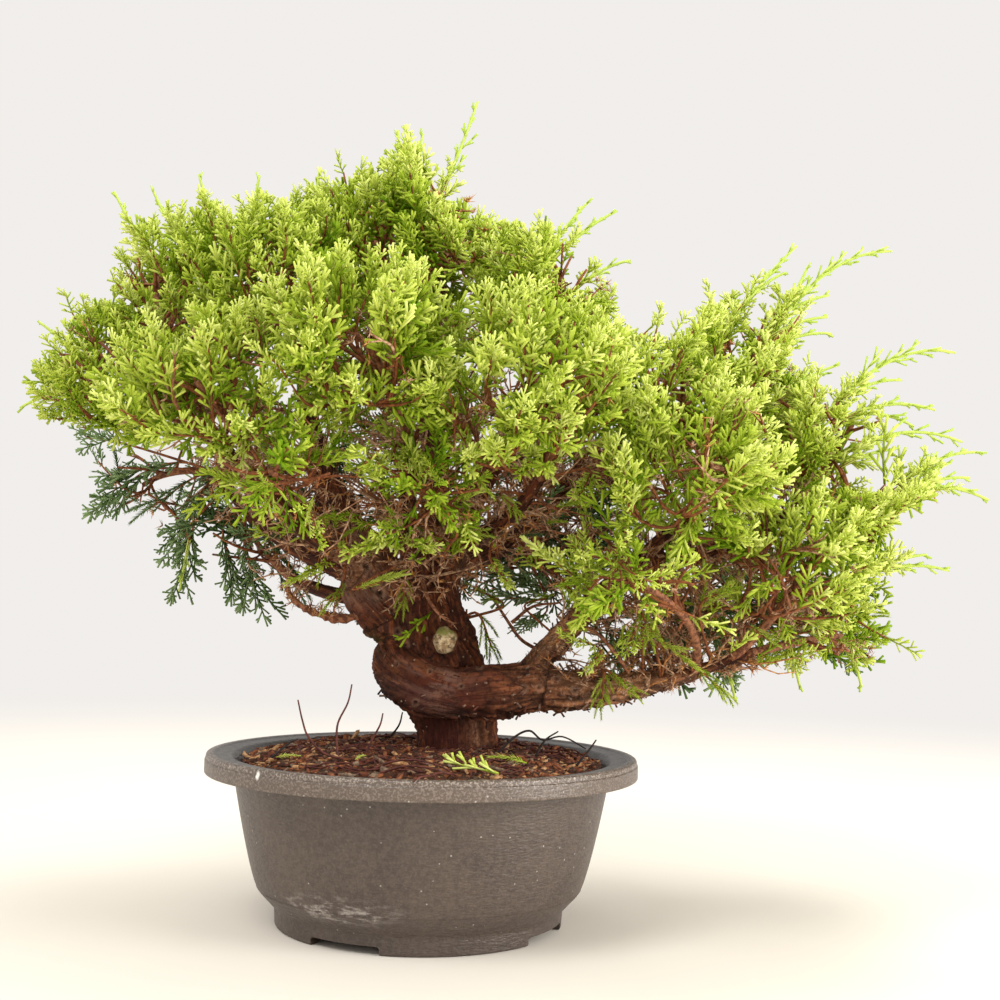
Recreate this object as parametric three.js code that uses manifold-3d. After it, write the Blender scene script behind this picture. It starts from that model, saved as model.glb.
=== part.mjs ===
// Chinese juniper bonsai of the Itoigawa variety in a round training pot. Millimetres, +Z up.
// The origin is the middle of the pot's underside, on the surface that the pot stands on.
// +X is to the right and -Y is towards the side that the tree shows as its front.

import * as THREE from 'three';
import { mergeVertices } from 'three/addons/utils/BufferGeometryUtils.js';
import Module from 'manifold-3d';

const wasm = await Module();
wasm.setup();

// Pot: a round moulded pot with a turned-down rim and a ring foot with four drain slots
const RIM_RADIUS = 100;
const POT_HEIGHT = 77;
const RIM_DEPTH = 8.8;
const RIM_LIP = 3;
const RIM_EDGE_ROUND = 1.6;
const LEDGE_INNER_RADIUS = 88;
const LEDGE_DROP = 1;
const LEDGE_ROUND = 1.5;
const BODY_TOP_RADIUS = 87;
const WAIST_RADIUS = 74;
const WAIST_HEIGHT = 16;
const FOOT_RADIUS = 66;
const FOOT_HEIGHT = 8;
const FOOT_WALL = 5;
const FOOT_DRAFT = 0.5;
const WALL = 3;
const BODY_SWELL = 0.75;
const SIDE_SHARES = [0, 0.15, 0.5, 1];
const UNDERSIDE_HEIGHT = 4;
const FLOOR_TOP = 8;
const PAD_RADIUS = 14;
const SLOT_WIDTH = 34;
const SLOT_HEIGHT = 3.6;
const SLOT_COUNT = 4;
const FIRST_SLOT_ANGLE = -116;
const POT_SIDES = 24;

// Soil: a low mound, level where the trunk stands
const CONTACT_GAP = 0.3;
const CLEAR_RADIUS = 0.36;
const SOIL_CROWN = 79.2;
const SOIL_EDGE = 73.5;
const SOIL_LEVEL_RADIUS = 42;
const SLOPE_SHARES = [0, 0.35, 0.7];
const SOIL_FALL = 1.6;
const SOIL_SIDES = POT_SIDES;

// Trunk: neck, swollen upper trunk, and the great swirl that wraps round its front
const NECK_FOOT = [15, 8, SOIL_CROWN + CONTACT_GAP];
const NECK_RADIUS = 18;
const FLARE_RADIUS = 19.6;
const TRUNK_LEAN = [[13.5, 7, 94], [7, 6, 112], [1.5, 5, 131]];
const TRUNK_TOP = [-2, 5, 153];
const TRUNK_TOP_RADIUS = 15;
const TRUNK_BELLY_RADIUS = 20.5;
const FLARE_SHARE = 0.12;
const BELLY_SHARE = 0.6;
const TRUNK_SIDES = 12;
const TRUNK_RINGS = 9;
const SWIRL_CENTRE = [10, 3];
const SWIRL_TURN_RADIUS = 22.5;
const SWIRL_RADIUS = 11.6;
const SWIRL_HIGH = 124;
const SWIRL_LOW = 106;
const SWIRL_FROM_ANGLE = 160;
const SWIRL_TO_ANGLE = 290;
const SWIRL_END = [52, -19, 110];
const SWIRL_STEPS = 6;
const SWIRL_SIDES = 10;
const SWIRL_RINGS = 11;
const SWIRL_TAPER = [1.06, 0.96];
const STUB_FOOT = [8, -8, 130];
const STUB_END = [9, -21, 131.5];
const STUB_RADIUS = 6;
const STUB_SIDES = 9;

// Boughs: each leaves the limb named in "on" at a share of its length and ends at "to".
// "bow" is how far its middle stands off the straight line, and "radii" are those of its foot and tip.
const BOUGHS = {
  left_leader: { on: 'trunk', at: 0.8, to: [-60, -4, 242], bow: [-11, 0, -5], radii: [14, 4.6] },
  right_leader: { on: 'trunk', at: 0.77, to: [54, 4, 246], bow: [-8, 2, 5], radii: [10, 3.8] },
  centre_leader: { on: 'trunk', at: 0.93, to: [-8, 8, 276], bow: [6, 4, 0], radii: [8.5, 3.4] },
  back_bough: { on: 'trunk', at: 0.86, to: [-8, 84, 250], bow: [2, 12, -14], radii: [8, 3.4] },
  left_bough: { on: 'left_leader', at: 0.42, to: [-122, -10, 244], bow: [-2, -2, -9], radii: [7, 3.2] },
  left_front_bough: { on: 'left_leader', at: 0.3, to: [-72, -50, 203], bow: [-5, -6, -6], radii: [5.5, 2.8] },
  left_back_bough: { on: 'left_leader', at: 0.24, to: [-116, 62, 212], bow: [-4, 4, -10], radii: [6.5, 3] },
  left_low_bough: { on: 'left_leader', at: 0.12, to: [-72, 44, 158], bow: [-4, -6, -3], radii: [5, 2.6] },
  front_bough: { on: 'trunk', at: 0.9, to: [-6, -56, 214], bow: [-4, -9, -6], radii: [6.5, 3] },
  right_front_bough: { on: 'right_leader', at: 0.32, to: [50, -50, 202], bow: [4, -7, -4], radii: [5, 2.8] },
  back_right_bough: { on: 'right_leader', at: 0.24, to: [74, 76, 220], bow: [2, 8, -10], radii: [6, 3] },
  right_bough: { on: 'swirl', at: 0.9, to: [126, -10, 192], bow: [-3, 3, 2], radii: [7.4, 3.4] },
  right_far_bough: { on: 'right_bough', at: 0.66, to: [172, -16, 196], bow: [4, -3, -5], radii: [4.8, 2.8] },
  right_low_bough: { on: 'swirl', at: 0.995, to: [146, -24, 127], bow: [0, 0, -8], radii: [10.8, 3] },
  right_back_bough: { on: 'right_low_bough', at: 0.42, to: [134, 44, 150], bow: [6, 4, -6], radii: [5, 2.8] },
};
const BOUGH_SIDES = 6;
const BOUGH_RINGS = 5;
const BOUGH_TAPER = 1.25;

// Masses of foliage: middle and half-sizes of the space each keeps to, the bough and the place on it
// that its stem leaves, and whether it is dense enough for a core.
const MASSES = {
  left_tip: { at: [-158, -10, 251], size: [36, 48, 32], on: 'left_bough', from: 1, core: true },
  left_top: { at: [-130, 6, 297], size: [38, 50, 36], on: 'left_bough', from: 0.9, core: true },
  left_front: { at: [-92, -72, 236], size: [42, 42, 30], on: 'left_front_bough', from: 1, core: true },
  left_low_front: { at: [-56, -86, 198], size: [32, 34, 22], on: 'left_front_bough', from: 0.86 },
  left_back_low: { at: [-150, 74, 205], size: [38, 42, 28], on: 'left_back_bough', from: 1 },
  left_back_inner: { at: [-92, 76, 178], size: [44, 38, 26], on: 'left_low_bough', from: 1 },
  top_left: { at: [-76, -14, 304], size: [38, 50, 36], on: 'left_leader', from: 1, core: true },
  top_mid: { at: [-34, 8, 324], size: [36, 54, 40], on: 'centre_leader', from: 0.9, core: true },
  apex: { at: [4, 0, 330], size: [34, 50, 42], on: 'centre_leader', from: 1, core: true },
  top_right: { at: [58, 0, 300], size: [46, 50, 40], on: 'right_leader', from: 1, core: true },
  mid_left_front: { at: [-26, -88, 254], size: [44, 42, 33], on: 'front_bough', from: 1, core: true },
  mid_front: { at: [44, -86, 240], size: [42, 42, 35], on: 'right_front_bough', from: 1, core: true },
  low_mid_front: { at: [4, -70, 194], size: [34, 32, 22], on: 'front_bough', from: 0.76 },
  right_mid: { at: [106, -30, 246], size: [34, 46, 34], on: 'right_bough', from: 1, core: true },
  right_top: { at: [152, 0, 270], size: [34, 48, 42], on: 'right_bough', from: 0.9, core: true },
  right_front: { at: [116, -80, 206], size: [36, 38, 30], on: 'right_far_bough', from: 0.76, core: true },
  right_far_up: { at: [192, -4, 236], size: [38, 46, 32], on: 'right_far_bough', from: 0.9, core: true },
  right_far_tip: { at: [216, -22, 196], size: [40, 42, 24], on: 'right_far_bough', from: 1 },
  right_low_front: { at: [90, -78, 158], size: [32, 34, 24], on: 'right_low_bough', from: 0.74 },
  right_low: { at: [160, -50, 168], size: [40, 40, 28], on: 'right_low_bough', from: 0.9, core: true },
  right_low_far: { at: [192, 2, 138], size: [36, 40, 24], on: 'right_low_bough', from: 1 },
  right_back_low: { at: [148, 62, 132], size: [36, 40, 24], on: 'right_back_bough', from: 1 },
  back_left: { at: [-126, 88, 286], size: [44, 44, 38], on: 'left_back_bough', from: 0.86, core: true },
  back_mid_left: { at: [-48, 104, 306], size: [54, 46, 44], on: 'back_bough', from: 1, core: true },
  back_mid: { at: [48, 106, 284], size: [52, 46, 46], on: 'back_right_bough', from: 1, core: true },
  back_right: { at: [152, 86, 238], size: [44, 46, 38], on: 'right_back_bough', from: 0.84, core: true },
  back_low_mid: { at: [44, 92, 168], size: [34, 36, 26], on: 'back_right_bough', from: 0.8 },
};

// Long shoots that make the tips of the outline
const SHOOTS = [
  { of: 'apex', tip: [17.6, 0, 390] },
  { of: 'apex', tip: [-22, -6, 372] },
  { of: 'left_tip', tip: [-194, -10, 234] },
  { of: 'left_top', tip: [-148, 0, 334] },
  { of: 'left_top', tip: [-108, 4, 345] },
  { of: 'top_right', tip: [77, 4, 344] },
  { of: 'top_right', tip: [94, 6, 314] },
  { of: 'right_top', tip: [172, -4, 322] },
  { of: 'right_top', tip: [216, -6, 318] },
  { of: 'right_far_up', tip: [243, -12, 272] },
  { of: 'right_far_tip', tip: [258, -20, 201] },
  { of: 'right_far_tip', tip: [236, -24, 168] },
  { of: 'right_low_far', tip: [204, 2, 110] },
  { of: 'left_back_low', tip: [-138, 72, 150] },
];

const SPRAYS_IN_CORED = 10;
const TWIGS_IN_OPEN = 9;
const STEM_RADIUS = 2.4;
const STEM_END_RADIUS = 1.3;
const STEM_SIDES = 4;
const STEM_RINGS = 3;
const TWIG_RADIUS = 1.3;
const TWIG_END_RADIUS = 0.75;
const TWIG_SIDES = 3;
const TWIG_INTO_SPRAY = 0.1;
const SHORTEST_TWIG = 0.2;
const TWIG_TEST_PLACES = [0.3, 0.5, 0.7, 0.85, 1];
const STEM_BOW = 0.12;
const STEM_OVERREACH = 0.04;
const STEM_STRETCHES = 8;
const LIMB_STRETCHES = 10;
const CORE_SHARE = 0.6;
const CORE_TUFT = 1.4;
const TUFT_FACES = 5;
const CORE_LUMP = 0.14;
const CORE_SMALLEST = 0.1;
const CORE_STEP = 0.93;
const SPRAY_SHARE = 0.85;
const SPRAY_WIDTH = 0.9;
const SPRAY_THICKNESS = 2.6;
const SPRAY_SIZES = [0.95, 1.2];
const TWIG_LEAVES_STEM = [0.55, 0.98];
const SHOOT_ROLL = 0.6;
const SPACE_GROWTH = 1.12;
const OPEN_SPRAY = 0.9;
const SHOOT_SPRAY = 0.7;
const SHOOT_REACH = 3;
const TIP_REACH = 1.02;
const FAIRING = 0.12;
const FINE_FAIRING = 0.01;
const FIVE_FINGERS = [[0, 0], [0.46, 0.85], [0.52, 0.32], [0.84, 0.68], [0.74, 0.2], [1, 0]];
const THREE_FINGERS = [[0, 0], [0.55, 0.85], [0.58, 0.25], [1, 0]];
const RIDGE_SHARE = 0.48;
const SPACE_MARGIN = 0.035;
const LIMB_CLEARANCE = 0.9;
const REACHES = [1, 0.88, 0.76, 0.64];
const INWARD_LIMIT = -0.4;
const LIFT = 0.22;
const CROWN_HEART = [16, 10, 205];
const GOLDEN_ANGLE = Math.PI * (3 - Math.sqrt(5));
const SEED = 4171;
const SEED_STEP = 97;

const FINISH = {
  pot: { color: 0x62564c, roughness: 0.62, metalness: 0 },
  soil: { color: 0x5a3a26, roughness: 0.95, metalness: 0 },
  bark: { color: 0x74432e, roughness: 0.86, metalness: 0 },
  young_bark: { color: 0x7a4a30, roughness: 0.85, metalness: 0 },
  foliage: { color: 0x7f9f35, roughness: 0.6, metalness: 0 },
  inner_foliage: { color: 0x4a6f35, roughness: 0.65, metalness: 0 },
};

const vector = (place) => new THREE.Vector3(...place);
const radians = THREE.MathUtils.degToRad;
const mix = THREE.MathUtils.lerp;

// A repeatable stream of numbers from 0 to 1
function seeded(seed) {
  let state = seed >>> 0;
  return () => {
    state = (state + 0x6d2b79f5) >>> 0;
    let t = Math.imul(state ^ (state >>> 15), state | 1);
    t ^= t + Math.imul(t ^ (t >>> 7), t | 61);
    return ((t ^ (t >>> 14)) >>> 0) / 4294967296;
  };
}

// A closed mesh with its shared corners merged, as a solid whose faces point out
function solidOf(geometry) {
  const bare = geometry.index ? geometry.toNonIndexed() : geometry.clone();
  bare.deleteAttribute('normal');
  bare.deleteAttribute('uv');
  const merged = mergeVertices(bare, 1e-4);
  const places = Float32Array.from(merged.attributes.position.array);
  const corners = [];
  for (let i = 0; i < merged.index.count; i += 3) {
    const [a, b, c] = [0, 1, 2].map((k) => merged.index.getX(i + k));
    if (a !== b && b !== c && c !== a) corners.push(a, b, c);
  }
  const build = (triVerts) => (
    new wasm.Manifold(new wasm.Mesh({ numProp: 3, vertProperties: places, triVerts }))
  );
  const solid = build(Uint32Array.from(corners));
  return solid.volume() > 0 ? solid : build(Uint32Array.from(corners).reverse());
}

// The largest body of a solid, without loose scraps and sealed hollows
function mainBody(solid) {
  const bodies = solid.simplify(FINE_FAIRING).decompose();
  return bodies.reduce((best, body) => (body.volume() > best.volume() ? body : best));
}

function nodeMesh(name, solid, finish) {
  const { vertProperties, triVerts } = solid.getMesh();
  const geometry = new THREE.BufferGeometry();
  geometry.setAttribute('position', new THREE.BufferAttribute(Float32Array.from(vertProperties), 3));
  geometry.setIndex(new THREE.BufferAttribute(Uint32Array.from(triVerts), 1));
  geometry.computeVertexNormals();
  const mesh = new THREE.Mesh(geometry, new THREE.MeshStandardMaterial(finish));
  mesh.name = name;
  return mesh;
}

// A profile of [radius, height] corners turned round the Z axis
function turned(profile, sides) {
  const points = profile.map(([r, z]) => new THREE.Vector2(r, z));
  return new THREE.LatheGeometry(points, sides).rotateX(Math.PI / 2);
}

// A tapering limb along a curve: a ringed cylinder bent on to it
function limbGeometry(curve, radiusAt, sides, rings) {
  const geometry = new THREE.CylinderGeometry(1, 1, 1, sides, rings);
  const frames = curve.computeFrenetFrames(rings, false);
  const place = geometry.attributes.position;
  for (let i = 0; i < place.count; i++) {
    const ring = Math.round((place.getY(i) + 0.5) * rings);
    const share = ring / rings;
    const radius = radiusAt(share);
    const point = curve.getPointAt(share);
    point.addScaledVector(frames.normals[ring], place.getX(i) * radius);
    point.addScaledVector(frames.binormals[ring], -place.getZ(i) * radius);
    place.setXYZ(i, point.x, point.y, point.z);
  }
  return geometry;
}

// A curve from one place to another whose middle stands off the straight line by "bow"
function bowed(from, to, bow) {
  const middle = from.clone().add(to).multiplyScalar(0.5).addScaledVector(bow, 2);
  return new THREE.QuadraticBezierCurve3(from, middle, to);
}

// Every limb and stem as a chain of short straight stretches, to keep twigs and leaves clear of
const stretches = [];
function addStretches(owner, curve, radiusAt, count) {
  for (let i = 0; i < count; i++) {
    const [a, b] = [i / count, (i + 1) / count];
    stretches.push({
      owner,
      line: new THREE.Line3(curve.getPointAt(a), curve.getPointAt(b)),
      radius: Math.max(radiusAt(a), radiusAt(b)),
    });
  }
}

const nearest = new THREE.Vector3();
function clearOfLimbs(point, radius, owner) {
  return stretches.every((stretch) => {
    if (stretch.owner === owner) return true;
    stretch.line.closestPointToPoint(point, true, nearest);
    return nearest.distanceTo(point) > stretch.radius + radius + LIMB_CLEARANCE;
  });
}

// Pot
function bodyRadius(height) {
  const share = (height - WAIST_HEIGHT) / (POT_HEIGHT - RIM_DEPTH - WAIST_HEIGHT);
  return mix(WAIST_RADIUS, BODY_TOP_RADIUS, Math.max(share, 0) ** BODY_SWELL);
}

function potSolid() {
  const rimFoot = POT_HEIGHT - RIM_DEPTH;
  const outside = SIDE_SHARES.map((share) => mix(WAIST_HEIGHT, rimFoot, share));
  const profile = [
    [0, 0], [PAD_RADIUS, 0], [PAD_RADIUS, UNDERSIDE_HEIGHT],
    [FOOT_RADIUS - FOOT_WALL, UNDERSIDE_HEIGHT], [FOOT_RADIUS - FOOT_WALL, 0], [FOOT_RADIUS, 0],
    [FOOT_RADIUS + FOOT_DRAFT, FOOT_HEIGHT],
    ...outside.map((z) => [bodyRadius(z), z]),
    [BODY_TOP_RADIUS, POT_HEIGHT - RIM_LIP],
    [RIM_RADIUS - RIM_LIP, POT_HEIGHT - RIM_LIP], [RIM_RADIUS - RIM_LIP, rimFoot],
    [RIM_RADIUS, rimFoot], [RIM_RADIUS, POT_HEIGHT - RIM_EDGE_ROUND],
    [RIM_RADIUS - RIM_EDGE_ROUND, POT_HEIGHT],
    [LEDGE_INNER_RADIUS, POT_HEIGHT - LEDGE_DROP],
    [LEDGE_INNER_RADIUS - LEDGE_ROUND, POT_HEIGHT - LEDGE_DROP - LEDGE_ROUND],
    ...outside.toReversed().map((z) => [bodyRadius(z) - WALL, z]),
    [FOOT_RADIUS, FLOOR_TOP], [0, FLOOR_TOP],
  ];
  let pot = solidOf(turned(profile, POT_SIDES));
  for (let i = 0; i < SLOT_COUNT; i++) {
    const slot = new THREE.BoxGeometry(4 * FOOT_WALL, SLOT_WIDTH, 2 * SLOT_HEIGHT);
    slot.translate(FOOT_RADIUS, 0, 0);
    slot.rotateZ(radians(FIRST_SLOT_ANGLE + (i * 360) / SLOT_COUNT));
    pot = pot.subtract(solidOf(slot));
  }
  return mainBody(pot);
}

function soilSolid() {
  const wallGap = WALL + CONTACT_GAP;
  const side = SIDE_SHARES.slice(2).map((share) => mix(WAIST_HEIGHT, POT_HEIGHT - RIM_DEPTH, share));
  const slope = SLOPE_SHARES.map((share) => [
    mix(SOIL_LEVEL_RADIUS, BODY_TOP_RADIUS - wallGap, share),
    mix(SOIL_CROWN, SOIL_EDGE, share ** SOIL_FALL),
  ]);
  const profile = [
    [0, FLOOR_TOP + CONTACT_GAP], [FOOT_RADIUS - WALL, FLOOR_TOP + CONTACT_GAP],
    [bodyRadius(WAIST_HEIGHT) - WALL - 2 * CONTACT_GAP, WAIST_HEIGHT + 1],
    ...side.map((z) => [bodyRadius(z) - wallGap - CONTACT_GAP, z]),
    [BODY_TOP_RADIUS - wallGap - 2 * CONTACT_GAP, SOIL_EDGE],
    ...slope.toReversed(),
    [0, SOIL_CROWN],
  ];
  return solidOf(turned(profile, SOIL_SIDES));
}

// Trunk
const trunkCurve = new THREE.CatmullRomCurve3([NECK_FOOT, ...TRUNK_LEAN, TRUNK_TOP].map(vector));

function trunkRadius(share) {
  if (share < FLARE_SHARE) return mix(FLARE_RADIUS, NECK_RADIUS, share / FLARE_SHARE);
  if (share < BELLY_SHARE) {
    return mix(NECK_RADIUS, TRUNK_BELLY_RADIUS, (share - FLARE_SHARE) / (BELLY_SHARE - FLARE_SHARE));
  }
  return mix(TRUNK_BELLY_RADIUS, TRUNK_TOP_RADIUS, (share - BELLY_SHARE) / (1 - BELLY_SHARE));
}

function swirlRoute() {
  const route = [];
  for (let i = 0; i <= SWIRL_STEPS; i++) {
    const share = i / SWIRL_STEPS;
    const angle = radians(mix(SWIRL_FROM_ANGLE, SWIRL_TO_ANGLE, share));
    route.push(new THREE.Vector3(
      SWIRL_CENTRE[0] + SWIRL_TURN_RADIUS * Math.cos(angle),
      SWIRL_CENTRE[1] + SWIRL_TURN_RADIUS * Math.sin(angle),
      mix(SWIRL_HIGH, SWIRL_LOW, Math.sin((share * Math.PI) / 2)),
    ));
  }
  route.push(vector(SWIRL_END));
  return new THREE.CatmullRomCurve3(route);
}

const swirlCurve = swirlRoute();
const swirlRadius = (share) => SWIRL_RADIUS * mix(...SWIRL_TAPER, share);

function trunkSolid(extra) {
  const upright = limbGeometry(trunkCurve, (s) => trunkRadius(s) + extra, TRUNK_SIDES, TRUNK_RINGS);
  const swirl = limbGeometry(swirlCurve, (s) => swirlRadius(s) + extra, SWIRL_SIDES, SWIRL_RINGS);
  const stubCurve = new THREE.LineCurve3(vector(STUB_FOOT), vector(STUB_END));
  const stub = limbGeometry(stubCurve, () => STUB_RADIUS + extra, STUB_SIDES, 1);
  const joined = solidOf(upright).add(solidOf(swirl)).add(solidOf(stub));
  const below = new THREE.BoxGeometry(2 * RIM_RADIUS, 2 * RIM_RADIUS, NECK_RADIUS);
  below.translate(NECK_FOOT[0], NECK_FOOT[1], NECK_FOOT[2] - NECK_RADIUS / 2);
  return mainBody(extra > 0 ? joined : joined.subtract(solidOf(below)));
}

// Boughs, each cut clear of the limb that bears it and of those grown before it
const limbs = {
  trunk: { curve: trunkCurve, fat: trunkSolid(CLEAR_RADIUS) },
  swirl: { curve: swirlCurve },
};
limbs.swirl.fat = limbs.trunk.fat;
addStretches('trunk', trunkCurve, trunkRadius, LIMB_STRETCHES);
addStretches('swirl', swirlCurve, swirlRadius, LIMB_STRETCHES);

function growBough(name, plan) {
  const parent = limbs[plan.on];
  const from = parent.curve.getPointAt(plan.at);
  const curve = bowed(from, vector(plan.to), vector(plan.bow));
  const radiusAt = (share) => mix(...plan.radii, 1 - (1 - share) ** BOUGH_TAPER);
  const solid = solidOf(limbGeometry(curve, radiusAt, BOUGH_SIDES, BOUGH_RINGS));
  limbs[name] = {
    curve,
    fat: solidOf(limbGeometry(curve, (s) => radiusAt(s) + CLEAR_RADIUS, BOUGH_SIDES, BOUGH_RINGS)),
    solid: mainBody(Object.values(limbs).reduce((left, limb) => left.subtract(limb.fat), solid)),
  };
  addStretches(name, curve, radiusAt, LIMB_STRETCHES);
}

// Foliage
const heart = vector(CROWN_HEART);
const masses = Object.entries(MASSES).map(([name, plan], order) => ({
  name, plan, order, middle: vector(plan.at), size: vector(plan.size).multiplyScalar(SPACE_GROWTH),
}));

const howFarOut = (mass, point) => point.clone().sub(mass.middle).divide(mass.size).length();

// True where a place is in a mass's own space: nearer to it, by its own sizes, than to any other
function inSpace(mass, point, limit) {
  const own = howFarOut(mass, point);
  if (own > limit) return false;
  return masses.every((other) => other === mass || own + SPACE_MARGIN < howFarOut(other, point));
}

// A spray as a toothed blade with a ridge along its middle: a two-ringed sphere pressed flat, whose rim
// is drawn out into the fingers. It lies along +X from its root.
function sprayGeometry(length, fingers) {
  const rim = [...fingers, ...fingers.slice(1, -1).toReversed().map(([along, across]) => [along, -across])];
  const geometry = new THREE.SphereGeometry(1, rim.length, 2);
  const place = geometry.attributes.position;
  for (let i = 0; i < place.count; i++) {
    const pole = place.getY(i);
    if (Math.abs(pole) > 0.5) {
      place.setXYZ(i, RIDGE_SHARE * length, 0, (Math.sign(pole) * SPRAY_THICKNESS) / 2);
      continue;
    }
    const turn = Math.atan2(place.getZ(i), place.getX(i)) / (2 * Math.PI);
    const corner = Math.round((turn + 1) * rim.length) % rim.length;
    place.setXYZ(i, rim[corner][0] * length, (rim[corner][1] * length * SPRAY_WIDTH) / 2, 0);
  }
  return geometry;
}

// Where a spray stands: its root, the way it points and its roll about that way
function sprayPlace(root, way, roll) {
  const side = new THREE.Vector3(0, 0, 1).cross(way);
  if (side.lengthSq() < 1e-6) side.set(0, 1, 0);
  side.normalize().applyAxisAngle(way, roll);
  const up = way.clone().cross(side);
  return new THREE.Matrix4().makeBasis(way, side, up).setPosition(root);
}

function sprayFits(mass, geometry, limit) {
  const place = geometry.attributes.position;
  const corner = new THREE.Vector3();
  for (let i = 0; i < place.count; i++) {
    corner.fromBufferAttribute(place, i);
    if (!inSpace(mass, corner, limit) || !clearOfLimbs(corner, 0, mass.name)) return false;
  }
  return true;
}

function twigFits(mass, curve, limit) {
  return TWIG_TEST_PLACES.every((share) => {
    const point = curve.getPointAt(share);
    return inSpace(mass, point, limit) && clearOfLimbs(point, TWIG_RADIUS, mass.name);
  });
}

const grownMasses = [];

function overlap(one, other) {
  const [a, b] = [one.boundingBox(), other.boundingBox()];
  const apart = [0, 1, 2].some((k) => a.max[k] < b.min[k] || b.max[k] < a.min[k]);
  return !apart && one.intersect(other).volume() > 0;
}

// One twig with a spray at its end, or null where it would leave the mass's space or touch a limb
function growTwig(mass, stem, leaves, target, spray, roll, limit) {
  const from = stem.getPointAt(leaves);
  const way = target.clone().sub(from).normalize();
  const root = target.clone().addScaledVector(way, -spray);
  const curve = new THREE.LineCurve3(from, root.clone().addScaledVector(way, spray * TWIG_INTO_SPRAY));
  const blade = sprayGeometry(spray, THREE_FINGERS).applyMatrix4(sprayPlace(root, way, roll));
  if (from.distanceTo(root) < spray * SHORTEST_TWIG) return null;
  if (!twigFits(mass, curve, limit) || !sprayFits(mass, blade, limit)) return null;
  const twig = limbGeometry(curve, (s) => mix(TWIG_RADIUS, TWIG_END_RADIUS, s), TWIG_SIDES, 1);
  const grown = solidOf(twig).add(solidOf(blade));
  return grownMasses.some((other) => overlap(other, grown)) ? null : grown;
}

// A spray rooted in the core, or null where it would leave the mass's space or touch a limb
function growSpray(mass, way, target, spray, roll) {
  const root = target.clone().addScaledVector(way, -spray);
  const blade = sprayGeometry(spray, FIVE_FINGERS).applyMatrix4(sprayPlace(root, way, roll));
  if (!sprayFits(mass, blade, TIP_REACH)) return null;
  const grown = solidOf(blade);
  return grownMasses.some((other) => overlap(other, grown)) ? null : grown;
}

// A dense core: a ball of 80 faces whose twelve five-sided corners stand out of it as tufts
function growCore(mass, random, shareOfSize) {
  const core = new THREE.IcosahedronGeometry(1, 1);
  core.deleteAttribute('normal');
  core.deleteAttribute('uv');
  const merged = mergeVertices(core, 1e-4);
  const place = merged.attributes.position;
  const faces = new Array(place.count).fill(0);
  for (const corner of merged.index.array) faces[corner] += 1;
  for (let i = 0; i < place.count; i++) {
    const way = new THREE.Vector3().fromBufferAttribute(place, i);
    const tuft = faces[i] === TUFT_FACES ? CORE_TUFT : 1;
    let reach = shareOfSize * tuft * (1 + CORE_LUMP * (2 * random() - 1));
    const corner = () => way.clone().multiply(mass.size).multiplyScalar(reach).add(mass.middle);
    while (reach > CORE_SMALLEST && !inSpace(mass, corner(), 1)) reach *= CORE_STEP;
    const found = corner();
    place.setXYZ(i, found.x, found.y, found.z);
  }
  return solidOf(merged);
}

function growMass(mass) {
  const { plan, middle, size } = mass;
  const random = seeded(SEED + SEED_STEP * mass.order);
  const stem = mass.stem;
  const pieces = [solidOf(limbGeometry(stem, stemRadius, STEM_SIDES, STEM_RINGS))];
  if (plan.core) {
    let share = CORE_SHARE;
    let core = growCore(mass, random, share);
    while (grownMasses.some((other) => overlap(other, core))) {
      share *= CORE_STEP;
      core = growCore(mass, random, share);
    }
    pieces.push(core);
  }
  const outward = middle.clone().sub(heart).normalize();
  const count = plan.core ? SPRAYS_IN_CORED : TWIGS_IN_OPEN;
  const smallest = Math.min(size.x, size.y, size.z);
  for (let i = 0; i < count; i++) {
    const height = 1 - (2 * i + 1) / count;
    const ring = Math.sqrt(1 - height * height);
    const turn = i * GOLDEN_ANGLE + random();
    const way = new THREE.Vector3(ring * Math.cos(turn), ring * Math.sin(turn), height + LIFT).normalize();
    const roll = (random() - 0.5) * Math.PI;
    const spray = smallest * SPRAY_SHARE * mix(...SPRAY_SIZES, random());
    const leaves = mix(...TWIG_LEAVES_STEM, random());
    if (way.dot(outward) < INWARD_LIMIT) continue;
    for (const reach of REACHES) {
      const target = way.clone().multiply(size).multiplyScalar(reach).add(middle);
      const grown = plan.core
        ? growSpray(mass, way.clone().multiply(size).normalize(), target, spray, roll)
        : growTwig(mass, stem, leaves, target, spray * OPEN_SPRAY, roll, TIP_REACH);
      if (grown) {
        pieces.push(grown);
        break;
      }
    }
  }
  for (const { tip } of SHOOTS.filter(({ of }) => of === mass.name)) {
    const roll = random() * SHOOT_ROLL;
    const grown = growTwig(mass, stem, 1, vector(tip), smallest * SHOOT_SPRAY, roll, SHOOT_REACH);
    if (grown) pieces.push(grown);
  }
  const joined = pieces.reduce((sum, piece) => sum.add(piece)).simplify(FAIRING);
  const others = masses.filter((other) => other !== mass).map((other) => other.fatStem);
  const solids = [...Object.values(limbs).map((limb) => limb.fat), ...others];
  const solid = mainBody(solids.reduce((left, other) => left.subtract(other), joined));
  grownMasses.push(solid);
  return solid;
}

const stemRadius = (share) => mix(STEM_RADIUS, STEM_END_RADIUS, share);

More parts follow.
